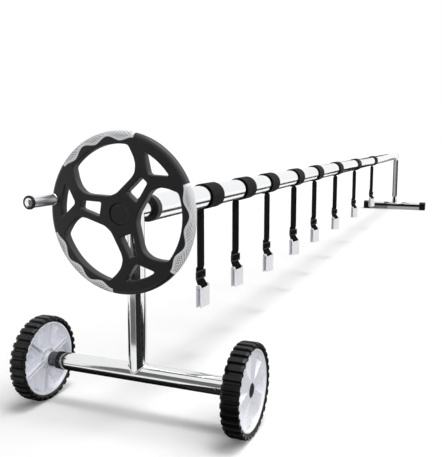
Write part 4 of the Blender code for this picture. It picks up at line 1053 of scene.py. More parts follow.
def rim_piece(body, centre, name, side):
    """Rim: a turned shell, an outer face with six pockets, and an inner side of ribs round deep hollows."""
    place = local_frame(centre, (1, 0, 0), (0, 0, 1), (0, side, 0))
    surface = Surface()
    outer_edge, inner_edge = rings(surface, soften([
        (DISC_EDGE - 0.0020, DISC_FACE, 0.0),
        (DISC_EDGE, DISC_FACE, 0.0012),
        (LIP_INNER, LIP_FACE, LIP_EDGE),
        (LIP_OUTER, LIP_FACE, LIP_EDGE),
        (LIP_OUTER, -LIP_FACE, LIP_EDGE),
        (LIP_INNER, -LIP_FACE, LIP_EDGE),
        (NETWORK_EDGE, RIB_PLANE, RIM_EDGE),
        (NETWORK_EDGE - 0.0010, RIB_PLANE, 0.0),
    ], closed=False), RIM_SIDES, place)
    seat = CAP_RADIUS + GAP
    cap_hole, hub_hole = rings(surface, soften([
        (seat + 0.0012, DISC_FACE, 0.0),
        (seat, DISC_FACE, RIM_EDGE),
        (seat, CAP_SEAT, 0.0),
        (HUB_BORE, CAP_SEAT, 0.0),
        (HUB_BORE, HUB_BACK, 0.0),
        (HUB_RADIUS, HUB_BACK, 0.0008),
        (HUB_RADIUS, RIB_PLANE, RIM_EDGE),
        (HUB_RADIUS + 0.0010, RIB_PLANE, 0.0),
    ], closed=False), RING_SIDES, place)
    holes = [cap_hole]
    for spoke in spoke_angles():
        holes.append(pocket(surface, spoke + SECTOR / 2.0, place))
        spot = turn_points([(DOT_PLACE, 0.0)], spoke)[0]
        holes.append(dimple(surface, circle(DOT_RADIUS, DOT_SIDES, spot), place))
    dash = rounded_box(*DASH_HALVES, DASH_CORNER, 4) + (DASH_MIDDLE, 0.0)
    holes.append(dimple(surface, turn_points(dash, DASH_ANGLE), place))
    fill(surface, outer_edge, holes, DISC_FACE, place)
    holes = [hub_hole]
    for outline, turn, creases in rim_cells():
        holes.append(hollow(surface, outline, RIM_EDGE, RIB_PLANE,
                            lambda points: DISC_BACK - wedge(points, turn), place, creases))
    fill(surface, inner_edge, holes, RIB_PLANE, place)
    return make_piece(name, surface, "white_plastic", body, [body + "_rim"])


class REEL_OT_wheels(bpy.types.Operator):
    """Rim, tyre and hub cap of both wheels"""

    bl_idname = "reel.wheels"
    bl_label = "Wheels"

    def execute(self, context):
        """Build both wheels."""
        cap = soften([
            (0.0, CAP_SEAT + GAP, 0.0),
            (CAP_RADIUS - GAP, CAP_SEAT + GAP, 0.0),
            (CAP_RADIUS - GAP, DISC_FACE + 0.0002, 0.0008),
            (CAP_RADIUS * 0.86, DISC_FACE + 0.0004, 0.0006),
            (CAP_RADIUS * 0.82, DISC_FACE - 0.0006, 0.0006),
            (CAP_RADIUS * 0.70, DISC_FACE + 0.0010, 0.0030),
            (0.0, DISC_FACE + 0.0010, 0.0),
        ])
        for side, label in ((1.0, "left"), (-1.0, "right")):
            body = "wheel_" + label
            spot = middle(body + "_tyre")
            centre = (spot.x, spot.y, AXLE_Z)
            tyre_piece(body, centre, "tyre_" + label)
            rim_piece(body, centre, "rim_" + label, side)
            turned_piece("hub_cap_" + label, body + "_cap", cap * (1.0, side), centre, "dark_plastic", body,
                         "Y", CAP_SIDES)
        return {"FINISHED"}


# Handwheel, drawn as seen from the front: a points to -Y, b points up, heights run to the front from its face
HANDWHEEL_RADIUS = 0.2130
HANDWHEEL_THICKNESS = 0.0270
SPOKE_ANGLES = (50.0, 170.0, 290.0)
INSERT_ANGLES = (110.0, 230.0, 350.0)
INSERT_SPAN = 67.0
INSERT_INNER = 0.1935
INSERT_WAVE = 0.0060
INSERT_LOBES = 3
WINDOW_RADIUS = 0.1800
WINDOW_HALF_ANGLE = 29.5
WINDOW_CORNER = 0.0070
WINDOW_SIDE = (
    (0.1256, 0.0930, 0.0090),
    (0.1045, 0.0915, 0.0095),
    (0.0850, 0.0815, 0.0075),
    (0.0760, 0.0680, 0.0070),
    (0.0530, 0.0120, 0.0085),
)
SPOKE_SLOT = ((0.057, -0.0195), (0.117, -0.0115), (0.117, 0.0115), (0.057, 0.0195))
SLOT_CORNER = 0.0052
FORK_RADIUS = 0.1770
FORK_HALF_ANGLE = 15.5
FORK_TIP = ((0.1375, 0.0040), (0.1375, -0.0040))
FORK_TIP_CORNER = 0.0030
FORK_CORNER = 0.0065
OPENING_STEPS = 7
EDGE_START = 0.0008
BARE_STEPS = 60
SEAT_STEPS = 240
HUB_CAP_BORE = 0.0290
HUB_CAP_RECESS = 0.0035
HUB_CAP_THICKNESS = 0.0060
HUB_CAP_EDGE = 0.0008
SHAFT_BORE = 0.0128

# Silver grips: round inner edge, steps round and across, and the border without dots
INSERT_ROUND = 0.0009
INSERT_STEPS = 220
INSERT_EDGE_STEPS = 16
INSERT_FLAT_SHARES = np.linspace(0.15, 0.9, 6)
DOT_BORDER = 0.0070
DOT_FADE = 0.0015


def handwheel_place():
    """Placing function of the handwheel's drawing: its face is at height 0."""
    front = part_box("handwheel_body")[0].x
    return local_frame((front, 0.0, REEL_Z), (0, -1, 0), (0, 0, 1), (-1, 0, 0))


def seat_radius(offset):
    """Wavy inner edge of a grip's seat at a from its middle: r = inner - wave cos(2 pi lobes a / span)."""
    return INSERT_INNER - INSERT_WAVE * np.cos(2.0 * math.pi * INSERT_LOBES * offset / INSERT_SPAN)


def edge_section(round_size, start_radius, steps=12):
    """Radius and height round the handwheel's edge: flat, quarter circle, side, quarter circle, flat."""
    quarter = np.linspace(0.0, math.pi / 2.0, steps + 1)
    core = HANDWHEEL_RADIUS - round_size
    radius = core + round_size * np.sin(quarter)
    height = -round_size * (1.0 - np.cos(quarter))
    radius = np.concatenate(([start_radius], radius, radius[::-1], [start_radius]))
    height = np.concatenate(([0.0], height, -HANDWHEEL_THICKNESS - height[::-1], [-HANDWHEEL_THICKNESS]))
    return radius, height


def opening_outlines():
    """All the openings of the handwheel: three large ones and two in each spoke."""
    rim_side = cornered_arc(WINDOW_RADIUS, -WINDOW_HALF_ANGLE, WINDOW_HALF_ANGLE, 18, WINDOW_CORNER)
    sides = np.array(WINDOW_SIDE)
    window = soften(np.concatenate((rim_side, sides, sides[::-1] * (1.0, -1.0, 1.0))), steps=OPENING_STEPS)
    slot = soften([(x, y, SLOT_CORNER) for x, y in SPOKE_SLOT], steps=OPENING_STEPS)
    fork_rim = cornered_arc(FORK_RADIUS, -FORK_HALF_ANGLE, FORK_HALF_ANGLE, 8, FORK_CORNER)
    tip = [(x, y, FORK_TIP_CORNER) for x, y in FORK_TIP]
    fork = soften(np.concatenate((fork_rim, tip)), steps=OPENING_STEPS)
    outlines = [turn_points(window, angle) for angle in INSERT_ANGLES]
    for angle in SPOKE_ANGLES:
        outlines += [turn_points(slot, angle), turn_points(fork, angle)]
    return outlines


def handwheel_piece():
    """Black moulding: rounded edge between the grips, wavy seats under them, openings with rounded walls."""
    sizes = bpy.context.scene.reel_sizes
    place = handwheel_place()
    surface = Surface()
    half = INSERT_SPAN / 2.0
    bare = 60.0 - half
    radius, height = edge_section(sizes.rim_round, HANDWHEEL_RADIUS - sizes.rim_round - EDGE_START)
    seat_end = float(seat_radius(half))
    outer_loop = []
    for spoke, insert in zip(SPOKE_ANGLES, INSERT_ANGLES):
        angle = np.radians(np.linspace(spoke - bare, spoke + bare, BARE_STEPS + 1))
        edge = np.stack((radius[:, None] * np.cos(angle), radius[:, None] * np.sin(angle),
                         height[:, None] + 0.0 * angle), axis=-1)
        surface.grid(place(edge))
        for end, at in ((0, spoke - bare), (-1, spoke + bare)):
            x, y = arc_points(seat_end, at, at, 0)[0]
            corners = ([(x, y, 0.0)], edge[:, end], [(x, y, -HANDWHEEL_THICKNESS)])
            surface.polygon(place(np.concatenate(corners)))
        offset = np.linspace(-half, half, SEAT_STEPS + 1)
        turn = np.radians(insert + offset)
        seat = seat_radius(offset)[:, None] * np.stack((np.cos(turn), np.sin(turn)), axis=1)
        rows = [np.column_stack((seat, np.full(len(seat), level))) for level in (0.0, -HANDWHEEL_THICKNESS)]
        surface.grid(place(np.stack(rows)))
        outer_loop += [edge[0][:, :2], seat]
    outer_loop = np.concatenate(outer_loop)
    front_holes, back_holes = [], []
    offsets, heights = edge_steps(sizes.window_round, -HANDWHEEL_THICKNESS + sizes.window_round)
    back = slice(-2, None, -1)
    offsets = np.concatenate((offsets[:-1], offsets[back]))
    heights = np.concatenate((heights[:-1], -HANDWHEEL_THICKNESS - heights[back]))
    for outline in opening_outlines():
        top, bottom = wall(surface, outline, offsets, heights, place)
        front_holes.append(top)
        back_holes.append(bottom)
    floor = -HUB_CAP_RECESS - HUB_CAP_THICKNESS
    recess = circle(HUB_CAP_BORE + GAP, RING_SIDES)
    top, bottom = wall(surface, recess, *edge_steps(HUB_CAP_EDGE, floor), place)
    front_holes.append(top)
    bore = circle(SHAFT_BORE, RING_SIDES)
    fill(surface, bottom, [bore], floor, place)
    wall(surface, bore, (0.0, 0.0), (floor, -HANDWHEEL_THICKNESS), place)
    back_holes.append(bore)
    fill(surface, outer_loop, front_holes, 0.0, place)
    fill(surface, outer_loop, back_holes, -HANDWHEEL_THICKNESS, place)
    return make_piece("handwheel", surface, "black_plastic", "reel", ["handwheel_body"])


def grip_piece(number, angle):
    """One silver grip: its section runs from the wavy seat over the rounded rim to the back, carried round.

    The point at (a, s) has radius and height of the edge section at s; its marks are the distance round,
    the distance over the section, and how much of the dot pattern shows there.
    """
    rim_round = bpy.context.scene.reel_sizes.rim_round
    place = handwheel_place()
    half = INSERT_SPAN / 2.0 - math.degrees(GAP / HANDWHEEL_RADIUS)
    offset = np.linspace(-half, half, INSERT_STEPS + 1)
    inner = seat_radius(offset) + GAP
    radius, height = edge_section(rim_round, 0.0, INSERT_EDGE_STEPS)
    quarter = np.linspace(math.pi / 2.0, 0.0, 5)[:, None]
    start = inner + INSERT_ROUND
    share = INSERT_FLAT_SHARES[:, None]
    flat = start + share * (HANDWHEEL_RADIUS - rim_round - start)
    front_radius = np.concatenate((inner + INSERT_ROUND * (1.0 - np.sin(quarter)), flat))
    front_height = np.concatenate((-INSERT_ROUND * (1.0 - np.cos(quarter)), 0.0 * share))
    all_radius = np.concatenate((front_radius, radius[1:-1, None] + 0.0 * offset, front_radius[::-1]))
    all_height = np.concatenate((front_height, height[1:-1, None], -HANDWHEEL_THICKNESS - front_height[::-1]))
    turn = np.radians(angle + offset)
    points = np.stack((
        all_radius * np.cos(turn), all_radius * np.sin(turn), all_height + 0.0 * turn), axis=-1)
    step = np.linalg.norm(np.diff(points, axis=0), axis=-1)
    over = np.concatenate((np.zeros((1, len(offset))), np.cumsum(step, axis=0)))
    round_way = np.radians(offset) * HANDWHEEL_RADIUS
    to_end = (half - np.abs(offset)) * math.radians(1.0) * HANDWHEEL_RADIUS
    to_side = np.minimum(over, over[-1:] - over)
    shown = np.clip((np.minimum(to_side, to_end) - DOT_BORDER) / DOT_FADE, 0.0, 1.0)
    surface = Surface()
    marks = np.stack((round_way + 0.0 * over, over, shown), axis=-1)
    surface.grid(place(points), loop_rows=True, marks=marks)
    surface.polygon(place(points[:, 0]))
    surface.polygon(place(points[:, -1]))
    return make_piece("silver_grip_" + str(number), surface, "silver_grip", "reel",
                      ["grip_insert_" + str(number)], "grip_lie")


class REEL_OT_handwheel(bpy.types.Operator):
    """Handwheel moulding, its three silver grips and the cap over the hub bolt"""

    bl_idname = "reel.handwheel"
    bl_label = "Handwheel"

    def execute(self, context):
        """Build the handwheel's pieces."""
        handwheel_piece()
        for number, angle in enumerate(INSERT_ANGLES, 1):
            grip_piece(number, angle)
        front, back = along_range("hub_bolt_cap", "X")
        edge = HUB_CAP_BORE - GAP
        cap = soften([
            (0.0, front, 0.0),
            (edge * 0.78, front, 0.0015),
            (edge * 0.83, front + 0.0009, 0.0006),
            (edge * 0.87, front + 0.0001, 0.0008),
            (edge, front + 0.0001, 0.0012),
            (edge, back, 0.0),
            (0.0, back, 0.0),
        ])
        turned_piece("hub_cover", "hub_bolt_cap", cap, REEL_AXIS, "black_plastic", "reel",
                     slot="dark_plastic")
        return {"FINISHED"}


# Crank handle
SOCKET_RADIUS = 0.0165
SOCKET_EDGE = 0.0028
SOCKET_STEP = 0.0004
GRIP_RADIUS = 0.0155
GRIP_EDGE = 0.0022
GRIP_BOTTOM = 0.0063
GRIP_RING_RADIUS = 0.0180
GRIP_RING_BORE = 0.0125
GRIP_RING_EDGE = 0.0018
CRANK_SPINDLE = 0.0060
SPINDLE_FOOT = CRANK_SPINDLE * 2.2
END_DOME_POWER = 2.2
END_DOME_STEPS = 15

# Pressed diamonds: number round the grip, plain ends, how the flat tops are cut, and the fade at the ends
KNURL_COUNT = 30
KNURL_ENDS = 0.006
KNURL_TOP = 1.6
KNURL_FADE = 0.002


class REEL_OT_crank(bpy.types.Operator):
    """Crank handle: bright socket in the rim, patterned grip, black end ring and domed end cap"""

    bl_idname = "reel.crank"
    bl_label = "Crank handle"

    def execute(self, context):
        """Build the crank's pieces."""
        spot = middle("crank_grip_ring")
        axis_point = (0.0, spot.y, spot.z)
        low, high = along_range("crank_socket", "X")
        grip_low, grip_high = along_range("crank_grip", "X")
        face = grip_high + GAP
        socket = soften([
            (0.0, high, 0.0),
            (SOCKET_RADIUS, high, 0.0),
            (SOCKET_RADIUS, face, SOCKET_EDGE),
            (SPINDLE_FOOT, face, SOCKET_STEP),
            (SPINDLE_FOOT, face + SOCKET_STEP, 0.0),
            (CRANK_SPINDLE, face + SOCKET_STEP, 0.0),
            (CRANK_SPINDLE, low, 0.0),
            (0.0, low, 0.0),
        ])
        turned_piece("socket", "crank_socket", socket, axis_point, "chromed_plastic", "reel")
        self.grip(np.array(axis_point), grip_low, grip_high)
        ring_low, ring_high = along_range("crank_grip_ring", "X")
        ring = soften([
            (GRIP_RING_BORE, ring_low, 0.0008),
            (GRIP_RING_RADIUS, ring_low, GRIP_RING_EDGE),
            (GRIP_RING_RADIUS, ring_high, GRIP_RING_EDGE),
            (GRIP_RING_BORE, ring_high, 0.0006),
        ])
        turned_piece("end_ring", "crank_grip_ring", ring, axis_point, "dark_plastic", "crank_handle")
        cap_low, cap_high = along_range("crank_grip_cap", "X")
        cap_radius = GRIP_RING_BORE - 2.0 * GAP
        share = np.linspace(0.0, 1.0, END_DOME_STEPS)
        dome = np.column_stack((cap_radius * share, cap_low + (ring_low - cap_low) * share ** END_DOME_POWER))
        cap = np.concatenate((dome, [(cap_radius, cap_high), (0.0, cap_high)]))
        turned_piece("end_cap", "crank_grip_cap", cap, axis_point, "chromed_plastic", "crank_handle")
        return {"FINISHED"}

    def grip(self, axis_point, low, high):
        """Grip with pressed diamonds.

        The radius is R - depth (1 - min(1, 1.6 |sin(n t/2 + k x) sin(n t/2 - k x)|)).
        """
        depth = bpy.context.scene.reel_sizes.knurl_depth
        pitch = math.pi * GRIP_RADIUS / KNURL_COUNT
        along = np.arange(low + KNURL_ENDS, high - KNURL_ENDS, pitch / 4.0)
        turn = full_turn(KNURL_COUNT * 8)
        lean = math.pi * (along[:, None] - low) / (2.0 * pitch)
        waves = np.sin(KNURL_COUNT * turn / 2.0 + lean) * np.sin(KNURL_COUNT * turn / 2.0 - lean)
        pressed = 1.0 - np.minimum(1.0, KNURL_TOP * np.abs(waves))
        to_end = np.minimum(along - along[0], along[-1] - along)[:, None]
        knurled = GRIP_RADIUS - depth * pressed * np.clip(to_end / KNURL_FADE, 0.0, 1.0)
        bore, bottom = CRANK_SPINDLE + GAP, low + GRIP_BOTTOM
        head = soften([(0.0, low, 0.0), (GRIP_RADIUS, low, GRIP_EDGE), (GRIP_RADIUS, along[0], 0.0)],
                      closed=False)
        tail = soften([(GRIP_RADIUS, along[-1], 0.0), (GRIP_RADIUS, high, GRIP_EDGE), (bore, high, 0.0),
                       (bore, bottom, 0.0), (0.0, bottom, 0.0)], closed=False)
        flat = 0.0 * turn
        radius = np.concatenate((head[:, :1] + flat, knurled[1:-1], tail[:, :1] + flat))
        position = np.concatenate((head[:, 1], along[1:-1], tail[:, 1]))[:, None] + flat
        points = np.stack((position, radius * np.cos(turn), radius * np.sin(turn)), axis=-1)
        surface = Surface()
        surface.grid(axis_point + points, loop_columns=True)
        return make_piece("grip", surface, "knurled_chrome", "crank_handle", ["crank_grip"])


# Reel tubes
TUBE_RADIUS = 0.0380
TUBE_WALL = 0.0016
REAR_TUBE_RADIUS = 0.0360
SEAM_SPIGOT = 0.0600
SEAM_EDGE = 0.0012
SEAM_SCREW_ANGLE = 12.0
SHAFT_SPIGOT = 0.0400
SHAFT_EDGE = 0.0012
PLUG_RIM = 0.0060
PLUG_RIM_SLOPE = 0.0010
PLUG_RIM_DEPTH = 0.0012


class REEL_OT_reel(bpy.types.Operator):
    """Shafts, end plugs, the three reel tubes and the screws beside their seam"""

    bl_idname = "reel.reel_tubes"
    bl_label = "Reel tubes"

    def execute(self, context):
        """Build the reel's tubes and shafts."""
        edge = context.scene.reel_sizes.tube_edge
        inner = TUBE_RADIUS - TUBE_WALL
        low, high = along_range("front_tube", "X")
        front = soften([
            (TUBE_RADIUS, low, edge),
            (TUBE_RADIUS, high, SEAM_EDGE),
            (inner, high, 0.0002),
            (inner, low, 0.0002),
        ])
        self.turned("tube_front", "front_tube", front, "reel", "reel_aluminium")
        low, high = along_range("middle_tube", "X")
        seam = low + SEAM_SPIGOT
        neck = inner - 2.0 * GAP
        middle_profile = soften([
            (neck, low, 0.0004),
            (neck, seam, 0.0),
            (TUBE_RADIUS, seam, SEAM_EDGE),
            (TUBE_RADIUS, high, edge),
            (inner, high, 0.0003),
            (inner, seam + TUBE_WALL, 0.0),
            (neck - TUBE_WALL, seam + TUBE_WALL, 0.0),
            (neck - TUBE_WALL, low, 0.0),
        ])
        self.turned("tube_middle", "middle_tube", middle_profile, "reel", "reel_aluminium")
        rear = pipe(REAR_TUBE_RADIUS, REAR_TUBE_RADIUS - TUBE_WALL, *along_range("rear_tube", "X"), edge)
        self.turned("tube_rear", "rear_tube", rear, "rear_reel", "reel_aluminium")
        self.plug("plug_front", "front_plug", TUBE_RADIUS, 1.0, "reel")
        self.plug("plug_rear", "rear_plug", REAR_TUBE_RADIUS, -1.0, "rear_reel")
        for name, node, body in (("shaft_front", "drive_shaft", "reel"),
                                 ("shaft_rear", "rear_shaft", "rear_reel")):
            low, high = along_range(node, "X")
            rod = soften([(0.0, low, 0.0), (SHAFT_RADIUS, low, SHAFT_EDGE),
                          (SHAFT_RADIUS, high, SHAFT_EDGE), (0.0, high, 0.0)])
            self.turned(name, node, rod, body, "shaft_steel")
        raised = math.radians(SEAM_SCREW_ANGLE)
        for side, label in ((-1.0, "right"), (1.0, "left")):
            node = "seam_screw_" + label
            out = (0.0, side * math.cos(raised), side * math.sin(raised))
            screw("tube_screw_" + label, node, (middle(node).x, 0.0, REEL_Z), out, TUBE_RADIUS + GAP, "reel")
        return {"FINISHED"}

    def turned(self, name, node, profile, body, look):
        """One turned piece on the reel's axis."""
        return turned_piece(name, node, profile, REEL_AXIS, look, body, sides=REEL_SIDES)

    def plug(self, name, node, tube_radius, inwards, body):
        """End plug: spigot in the tube, flange outside it and a socket for the shaft."""
        low, high = along_range(node, "X")
        outer, tip = (low, high) if inwards > 0.0 else (high, low)
        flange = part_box("front_tube")[0].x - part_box("front_plug")[0].x
        spigot = tube_radius - TUBE_WALL - 2.0 * GAP
        seat = outer + inwards * (flange - GAP)
        bore = SHAFT_RADIUS + GAP
        rim_floor = outer + inwards * PLUG_RIM_DEPTH
        bottom = outer + inwards * (SHAFT_SPIGOT + GAP)
        profile = soften([
            (0.0, tip, 0.0),
            (spigot, tip, 0.0015),
            (spigot, seat, 0.0),
            (tube_radius, seat, 0.0004),
            (tube_radius, outer, 0.0022),
            (bore + PLUG_RIM, outer, 0.0008),
            (bore + PLUG_RIM - PLUG_RIM_SLOPE, rim_floor, 0.0008),
            (bore, rim_floor, 0.0004),
            (bore, bottom, 0.0),
            (0.0, bottom, 0.0),
        ])
        return self.turned(name, node, profile, body, "dark_plastic")


# Straps: place behind the front post, offset of the hanging webbing, turn in degrees
STRAPS = (
    (0.487, 0.026, 5.0),
    (0.825, 0.027, 10.0),
    (1.136, 0.0, 10.0),
    (1.562, 0.0, 17.0),
    (1.982, 0.0, 16.0),
    (2.524, 0.0, 19.0),
    (3.182, 0.0, 19.0),
    (3.980, 0.0, 21.0),
)
ON_REAR_TUBE = 8

# Bands wound on the tube
CUFF_WIDTH = 0.100
CUFF_DEPTH = 0.006
CUFF_STEP = 0.00005
CUFF_START = -20.0
CUFF_POINTS = 400
CUFF_PATH_STEP = 0.0022

# Hanging webbing: sizes, its stitched patch, where it turns, and the steps of its path
WEB_WIDTH = 0.050
WEB_BEND = 0.0060
WEB_STEP = 0.0012
WEB_EDGE_SHARE = 0.9
WEB_SOFT_STEPS = 6
PATCH_ANGLE = 48.0
PATCH_POINTS = 40
BEND_STEPS = 11
TURN_START = -0.003
TURN_LENGTH = 0.015
SAME_POINT = 1e-9

# Way through the buckle: heights over its bars, reaches of the corners, clearances and the tail's end
WEAVE_HALF = 0.0125
WEAVE_RISE = 0.0030
WEAVE_MIDDLE_RISE = 0.0028
WEAVE_TOP_RISE = 0.0035
WEAVE_LEAD = 0.0160
WEAVE_LEAD_REACH = 0.0060
WEAVE_REACH = 0.0025
WEAVE_TOP_REACH = 0.0020
BAR_CLEARANCE = 0.0003
LAYER_CLEARANCE = 0.0002
TAIL_TOP = 0.331
TAIL_LEAN = 0.0008

# Slide buckle
BUCKLE_Z = 0.303
BUCKLE_HALF_WIDTH = 0.0330
BUCKLE_HALF_HEIGHT = 0.0150
BUCKLE_HALF_THICKNESS = 0.0020
BUCKLE_CORNER = 0.0055
BUCKLE_EDGE = 0.0008
SLOT_HALF_WIDTH = 0.02625
SLOT_LOW = 0.0030
SLOT_HIGH = 0.0100
SLOT_ROUND = 0.0020

# Loop round the tab's bar
LOOP_Z = 0.262
LOOP_LEAN = 0.008
LOOP_RADIUS = 0.0041
LOOP_STEPS = 18

# Folded tab, its window over the bar, its cheeks and its bar
TAB_HALF_WIDTH = 0.0330
TAB_WALL = 0.0024
TAB_FOLD = 0.0078
TAB_BOTTOM = 0.0710
TAB_CORNER = 0.0050
TAB_EDGE = 0.0007
TAB_SLOT = 0.0265
TAB_SLOT_CORNER = 0.0020
TAB_SILL = 0.0033
TAB_BEND_POINTS = 25
TAB_BAR = 0.0030
TAB_BAR_SIDES = 40
TAB_BAR_OVERLAP = 0.0010
CHEEK_EDGE = 0.0004
CHEEK_STEPS = 16

# Stitches of the patch: sizes, lift and margins, then a stitch's thickness along it and where, as shares
STITCH_PITCH = 0.0033
STITCH_LENGTH = 0.0026
STITCH_RADIUS = 0.00032
STITCH_LIFT = 0.4
STITCH_MARGIN = 0.0050
STITCH_END_MARGIN = 0.0040
STITCH_SIDES = 6
STITCH_THICKNESS = (0.0, 0.8, 1.0, 1.0, 0.8, 0.0)
STITCH_REACH = (-0.5, -0.44, -0.30, 0.30, 0.44, 0.5)


def even_path(path, step):
    """Open path of flat points resampled at nearly equal steps, with the length up to each point."""
    at_point = np.concatenate(([0.0], np.cumsum(np.linalg.norm(np.diff(path, axis=0), axis=1))))
    kept = np.concatenate(([True], np.diff(at_point) > SAME_POINT))
    path, at_point = path[kept], at_point[kept]
    at = np.linspace(0.0, at_point[-1], int(at_point[-1] / step) + 1)
    return np.stack((np.interp(at, at_point, path[:, 0]), np.interp(at, at_point, path[:, 1])), axis=1), at


def ribbon_map(path, step, turned):
    """Function from (across, along, lift) to the world for webbing on a flat path, and the lengths along it.

    The path holds (y, z); lift is measured along the path's left normal, and turned puts (x, y, z) in place.
    """
    even, at = even_path(path, step)
    way = unit(np.gradient(even, at, axis=0))

    def place(points):
        across, along, lift = np.moveaxis(np.asarray(points, float), -1, 0)
        y = np.interp(along, at, even[:, 0]) - lift * np.interp(along, at, way[:, 1])
        z = np.interp(along, at, even[:, 1]) + lift * np.interp(along, at, way[:, 0])
        return turned(across, y, z)

    return place, at


def ribbon(surface, place, at, width, thickness):
    """Webbing: a rounded flat section carried along the path; marks are across and along, in metres."""
    thin = thickness / 2.0
    across, lift = rounded_box(width / 2.0, thin, thin * WEB_EDGE_SHARE, 2).T
    across, lift, along = np.broadcast_arrays(across, lift, at[:, None])
    points = np.stack((across, along, lift), axis=-1)
    surface.grid(place(points), loop_columns=True, marks=points * (1.0, 1.0, 0.0))
    surface.polygon(place(points[0]))
    surface.polygon(place(points[-1]))


def cuff_surface_radius(tube_radius, degrees):
    """Outer radius of the wound cuff at an angle from the bottom, where the last layer passes."""
    sizes = bpy.context.scene.reel_sizes
    inner = tube_radius + GAP + sizes.cuff_thickness
    layers = math.floor(sizes.cuff_turns - 0.5) + ((degrees - CUFF_START) % 360.0) / 360.0
    return inner + (sizes.cuff_thickness + CUFF_STEP) * layers


def hanging(x, hang, turn, root):
    """Placing function of a strap's hanging parts, turned about the vertical: none at the cuff, then all."""
    def turned(across, y, z):
        angle = math.radians(turn) * smooth((root - TURN_START - z) / TURN_LENGTH)
        return np.stack((
            x + np.cos(angle) * across + np.sin(angle) * y,
            hang - np.sin(angle) * across + np.cos(angle) * y,
            z,
        ), axis=-1)
    return turned


def web_path(tube_radius, hang):
    """Path of the hanging webbing: patch on the cuff, bend, drop, weave, loop round the bar, weave, tail.

    The patch follows the cuff at radius R; a bend of radius b leads into the drop where
    sin(leave) = (hang + b) / (R + b).
    """
    web_thickness = bpy.context.scene.reel_sizes.web_thickness
    lift = web_thickness / 2.0 + CUFF_STEP
    rough = cuff_surface_radius(tube_radius, PATCH_ANGLE / 2.0) + lift
    leave = math.degrees(math.asin((hang + WEB_BEND) / (rough + WEB_BEND)))
    angles = np.linspace(leave + PATCH_ANGLE, leave, PATCH_POINTS)
    radii = cuff_surface_radius(tube_radius, angles) + lift
    turn = np.radians(angles)
    patch = np.stack((radii * np.sin(turn) - hang, REEL_Z - radii * np.cos(turn)), axis=1)
    centre = (radii[-1] + WEB_BEND) * np.array((math.sin(turn[-1]), -math.cos(turn[-1]))) + (-hang, REEL_Z)
    bend = centre + arc_points(WEB_BEND, leave + 90.0, 180.0, BEND_STEPS)
    bend[:, 0] += -bend[-1, 0] * np.linspace(0.0, 1.0, len(bend))
    behind = BUCKLE_HALF_THICKNESS + web_thickness / 2.0 + BAR_CLEARANCE
    second = behind + web_thickness + LAYER_CLEARANCE
    top, low = BUCKLE_Z + WEAVE_HALF, BUCKLE_Z - WEAVE_HALF
    front, back = -LOOP_LEAN - LOOP_RADIUS, -LOOP_LEAN + LOOP_RADIUS
    drop = soften([
        (0.0, bend[-1, 1], 0.0),
        (0.0, top + WEAVE_LEAD, WEAVE_LEAD_REACH),
        (behind, top + WEAVE_TOP_RISE, WEAVE_TOP_REACH),
        (behind, top - WEAVE_RISE, WEAVE_REACH),
        (-second, BUCKLE_Z + WEAVE_MIDDLE_RISE, WEAVE_REACH),
        (-second, BUCKLE_Z - WEAVE_MIDDLE_RISE, WEAVE_REACH),
        (behind, low + WEAVE_RISE, WEAVE_REACH),
        (behind, low - WEAVE_RISE, WEAVE_REACH),
        (front, LOOP_Z + WEAVE_RISE, WEAVE_REACH),
        (front, LOOP_Z, 0.0),
    ], closed=False, steps=WEB_SOFT_STEPS)
    loop = np.array((-LOOP_LEAN, LOOP_Z)) + arc_points(LOOP_RADIUS, 180.0, 360.0, LOOP_STEPS)
    tail = soften([
        (back, LOOP_Z, 0.0),
        (back, LOOP_Z + WEAVE_RISE, WEAVE_REACH),
        (second, low - WEAVE_RISE, WEAVE_REACH),
        (second, low + WEAVE_RISE, WEAVE_REACH),
        (-behind, BUCKLE_Z - WEAVE_MIDDLE_RISE, WEAVE_REACH),
        (-behind, BUCKLE_Z + WEAVE_MIDDLE_RISE, WEAVE_REACH),
        (second, top - WEAVE_RISE, WEAVE_REACH),
        (second, top + WEAVE_TOP_RISE, WEAVE_TOP_REACH),
        (second - TAIL_LEAN, TAIL_TOP, 0.0),
    ], closed=False, steps=WEB_SOFT_STEPS)
    return np.concatenate((patch, bend[1:], drop[1:], loop[1:], tail[1:]))


def stitches(surface, place, patch_length):
    """Rows of stitches that fix the patch: each a short rod with pointed ends, laid on the webbing's face."""
    lift = bpy.context.scene.reel_sizes.web_thickness / 2.0 + STITCH_RADIUS * STITCH_LIFT
    half = WEB_WIDTH / 2.0 - STITCH_MARGIN
    low_left, high_left, high_right, low_right = (
        np.array((x, y)) for x, y in ((-half, STITCH_END_MARGIN), (-half, patch_length - STITCH_END_MARGIN),
                                      (half, patch_length - STITCH_END_MARGIN), (half, STITCH_END_MARGIN)))
    rows = ((low_left, high_left), (low_right, high_right), (low_left, low_right), (high_left, high_right),
            (low_left, high_right), (high_left, low_right))
    thick = np.array(STITCH_THICKNESS)[:, None] * STITCH_RADIUS
    reach = np.array(STITCH_REACH)[:, None, None] * STITCH_LENGTH
    turn = full_turn(STITCH_SIDES)
    height = lift + thick * np.sin(turn)
    for start, end in rows:
        way = unit(end - start)
        side = np.array((-way[1], way[0]))
        count = int(np.linalg.norm(end - start) / STITCH_PITCH)
        for share in (np.arange(count) + 0.5) / count:
            flat = start + share * (end - start) + reach * way + (thick * np.cos(turn))[..., None] * side
            surface.grid(place(np.concatenate((flat, height[..., None]), axis=-1)), loop_columns=True)


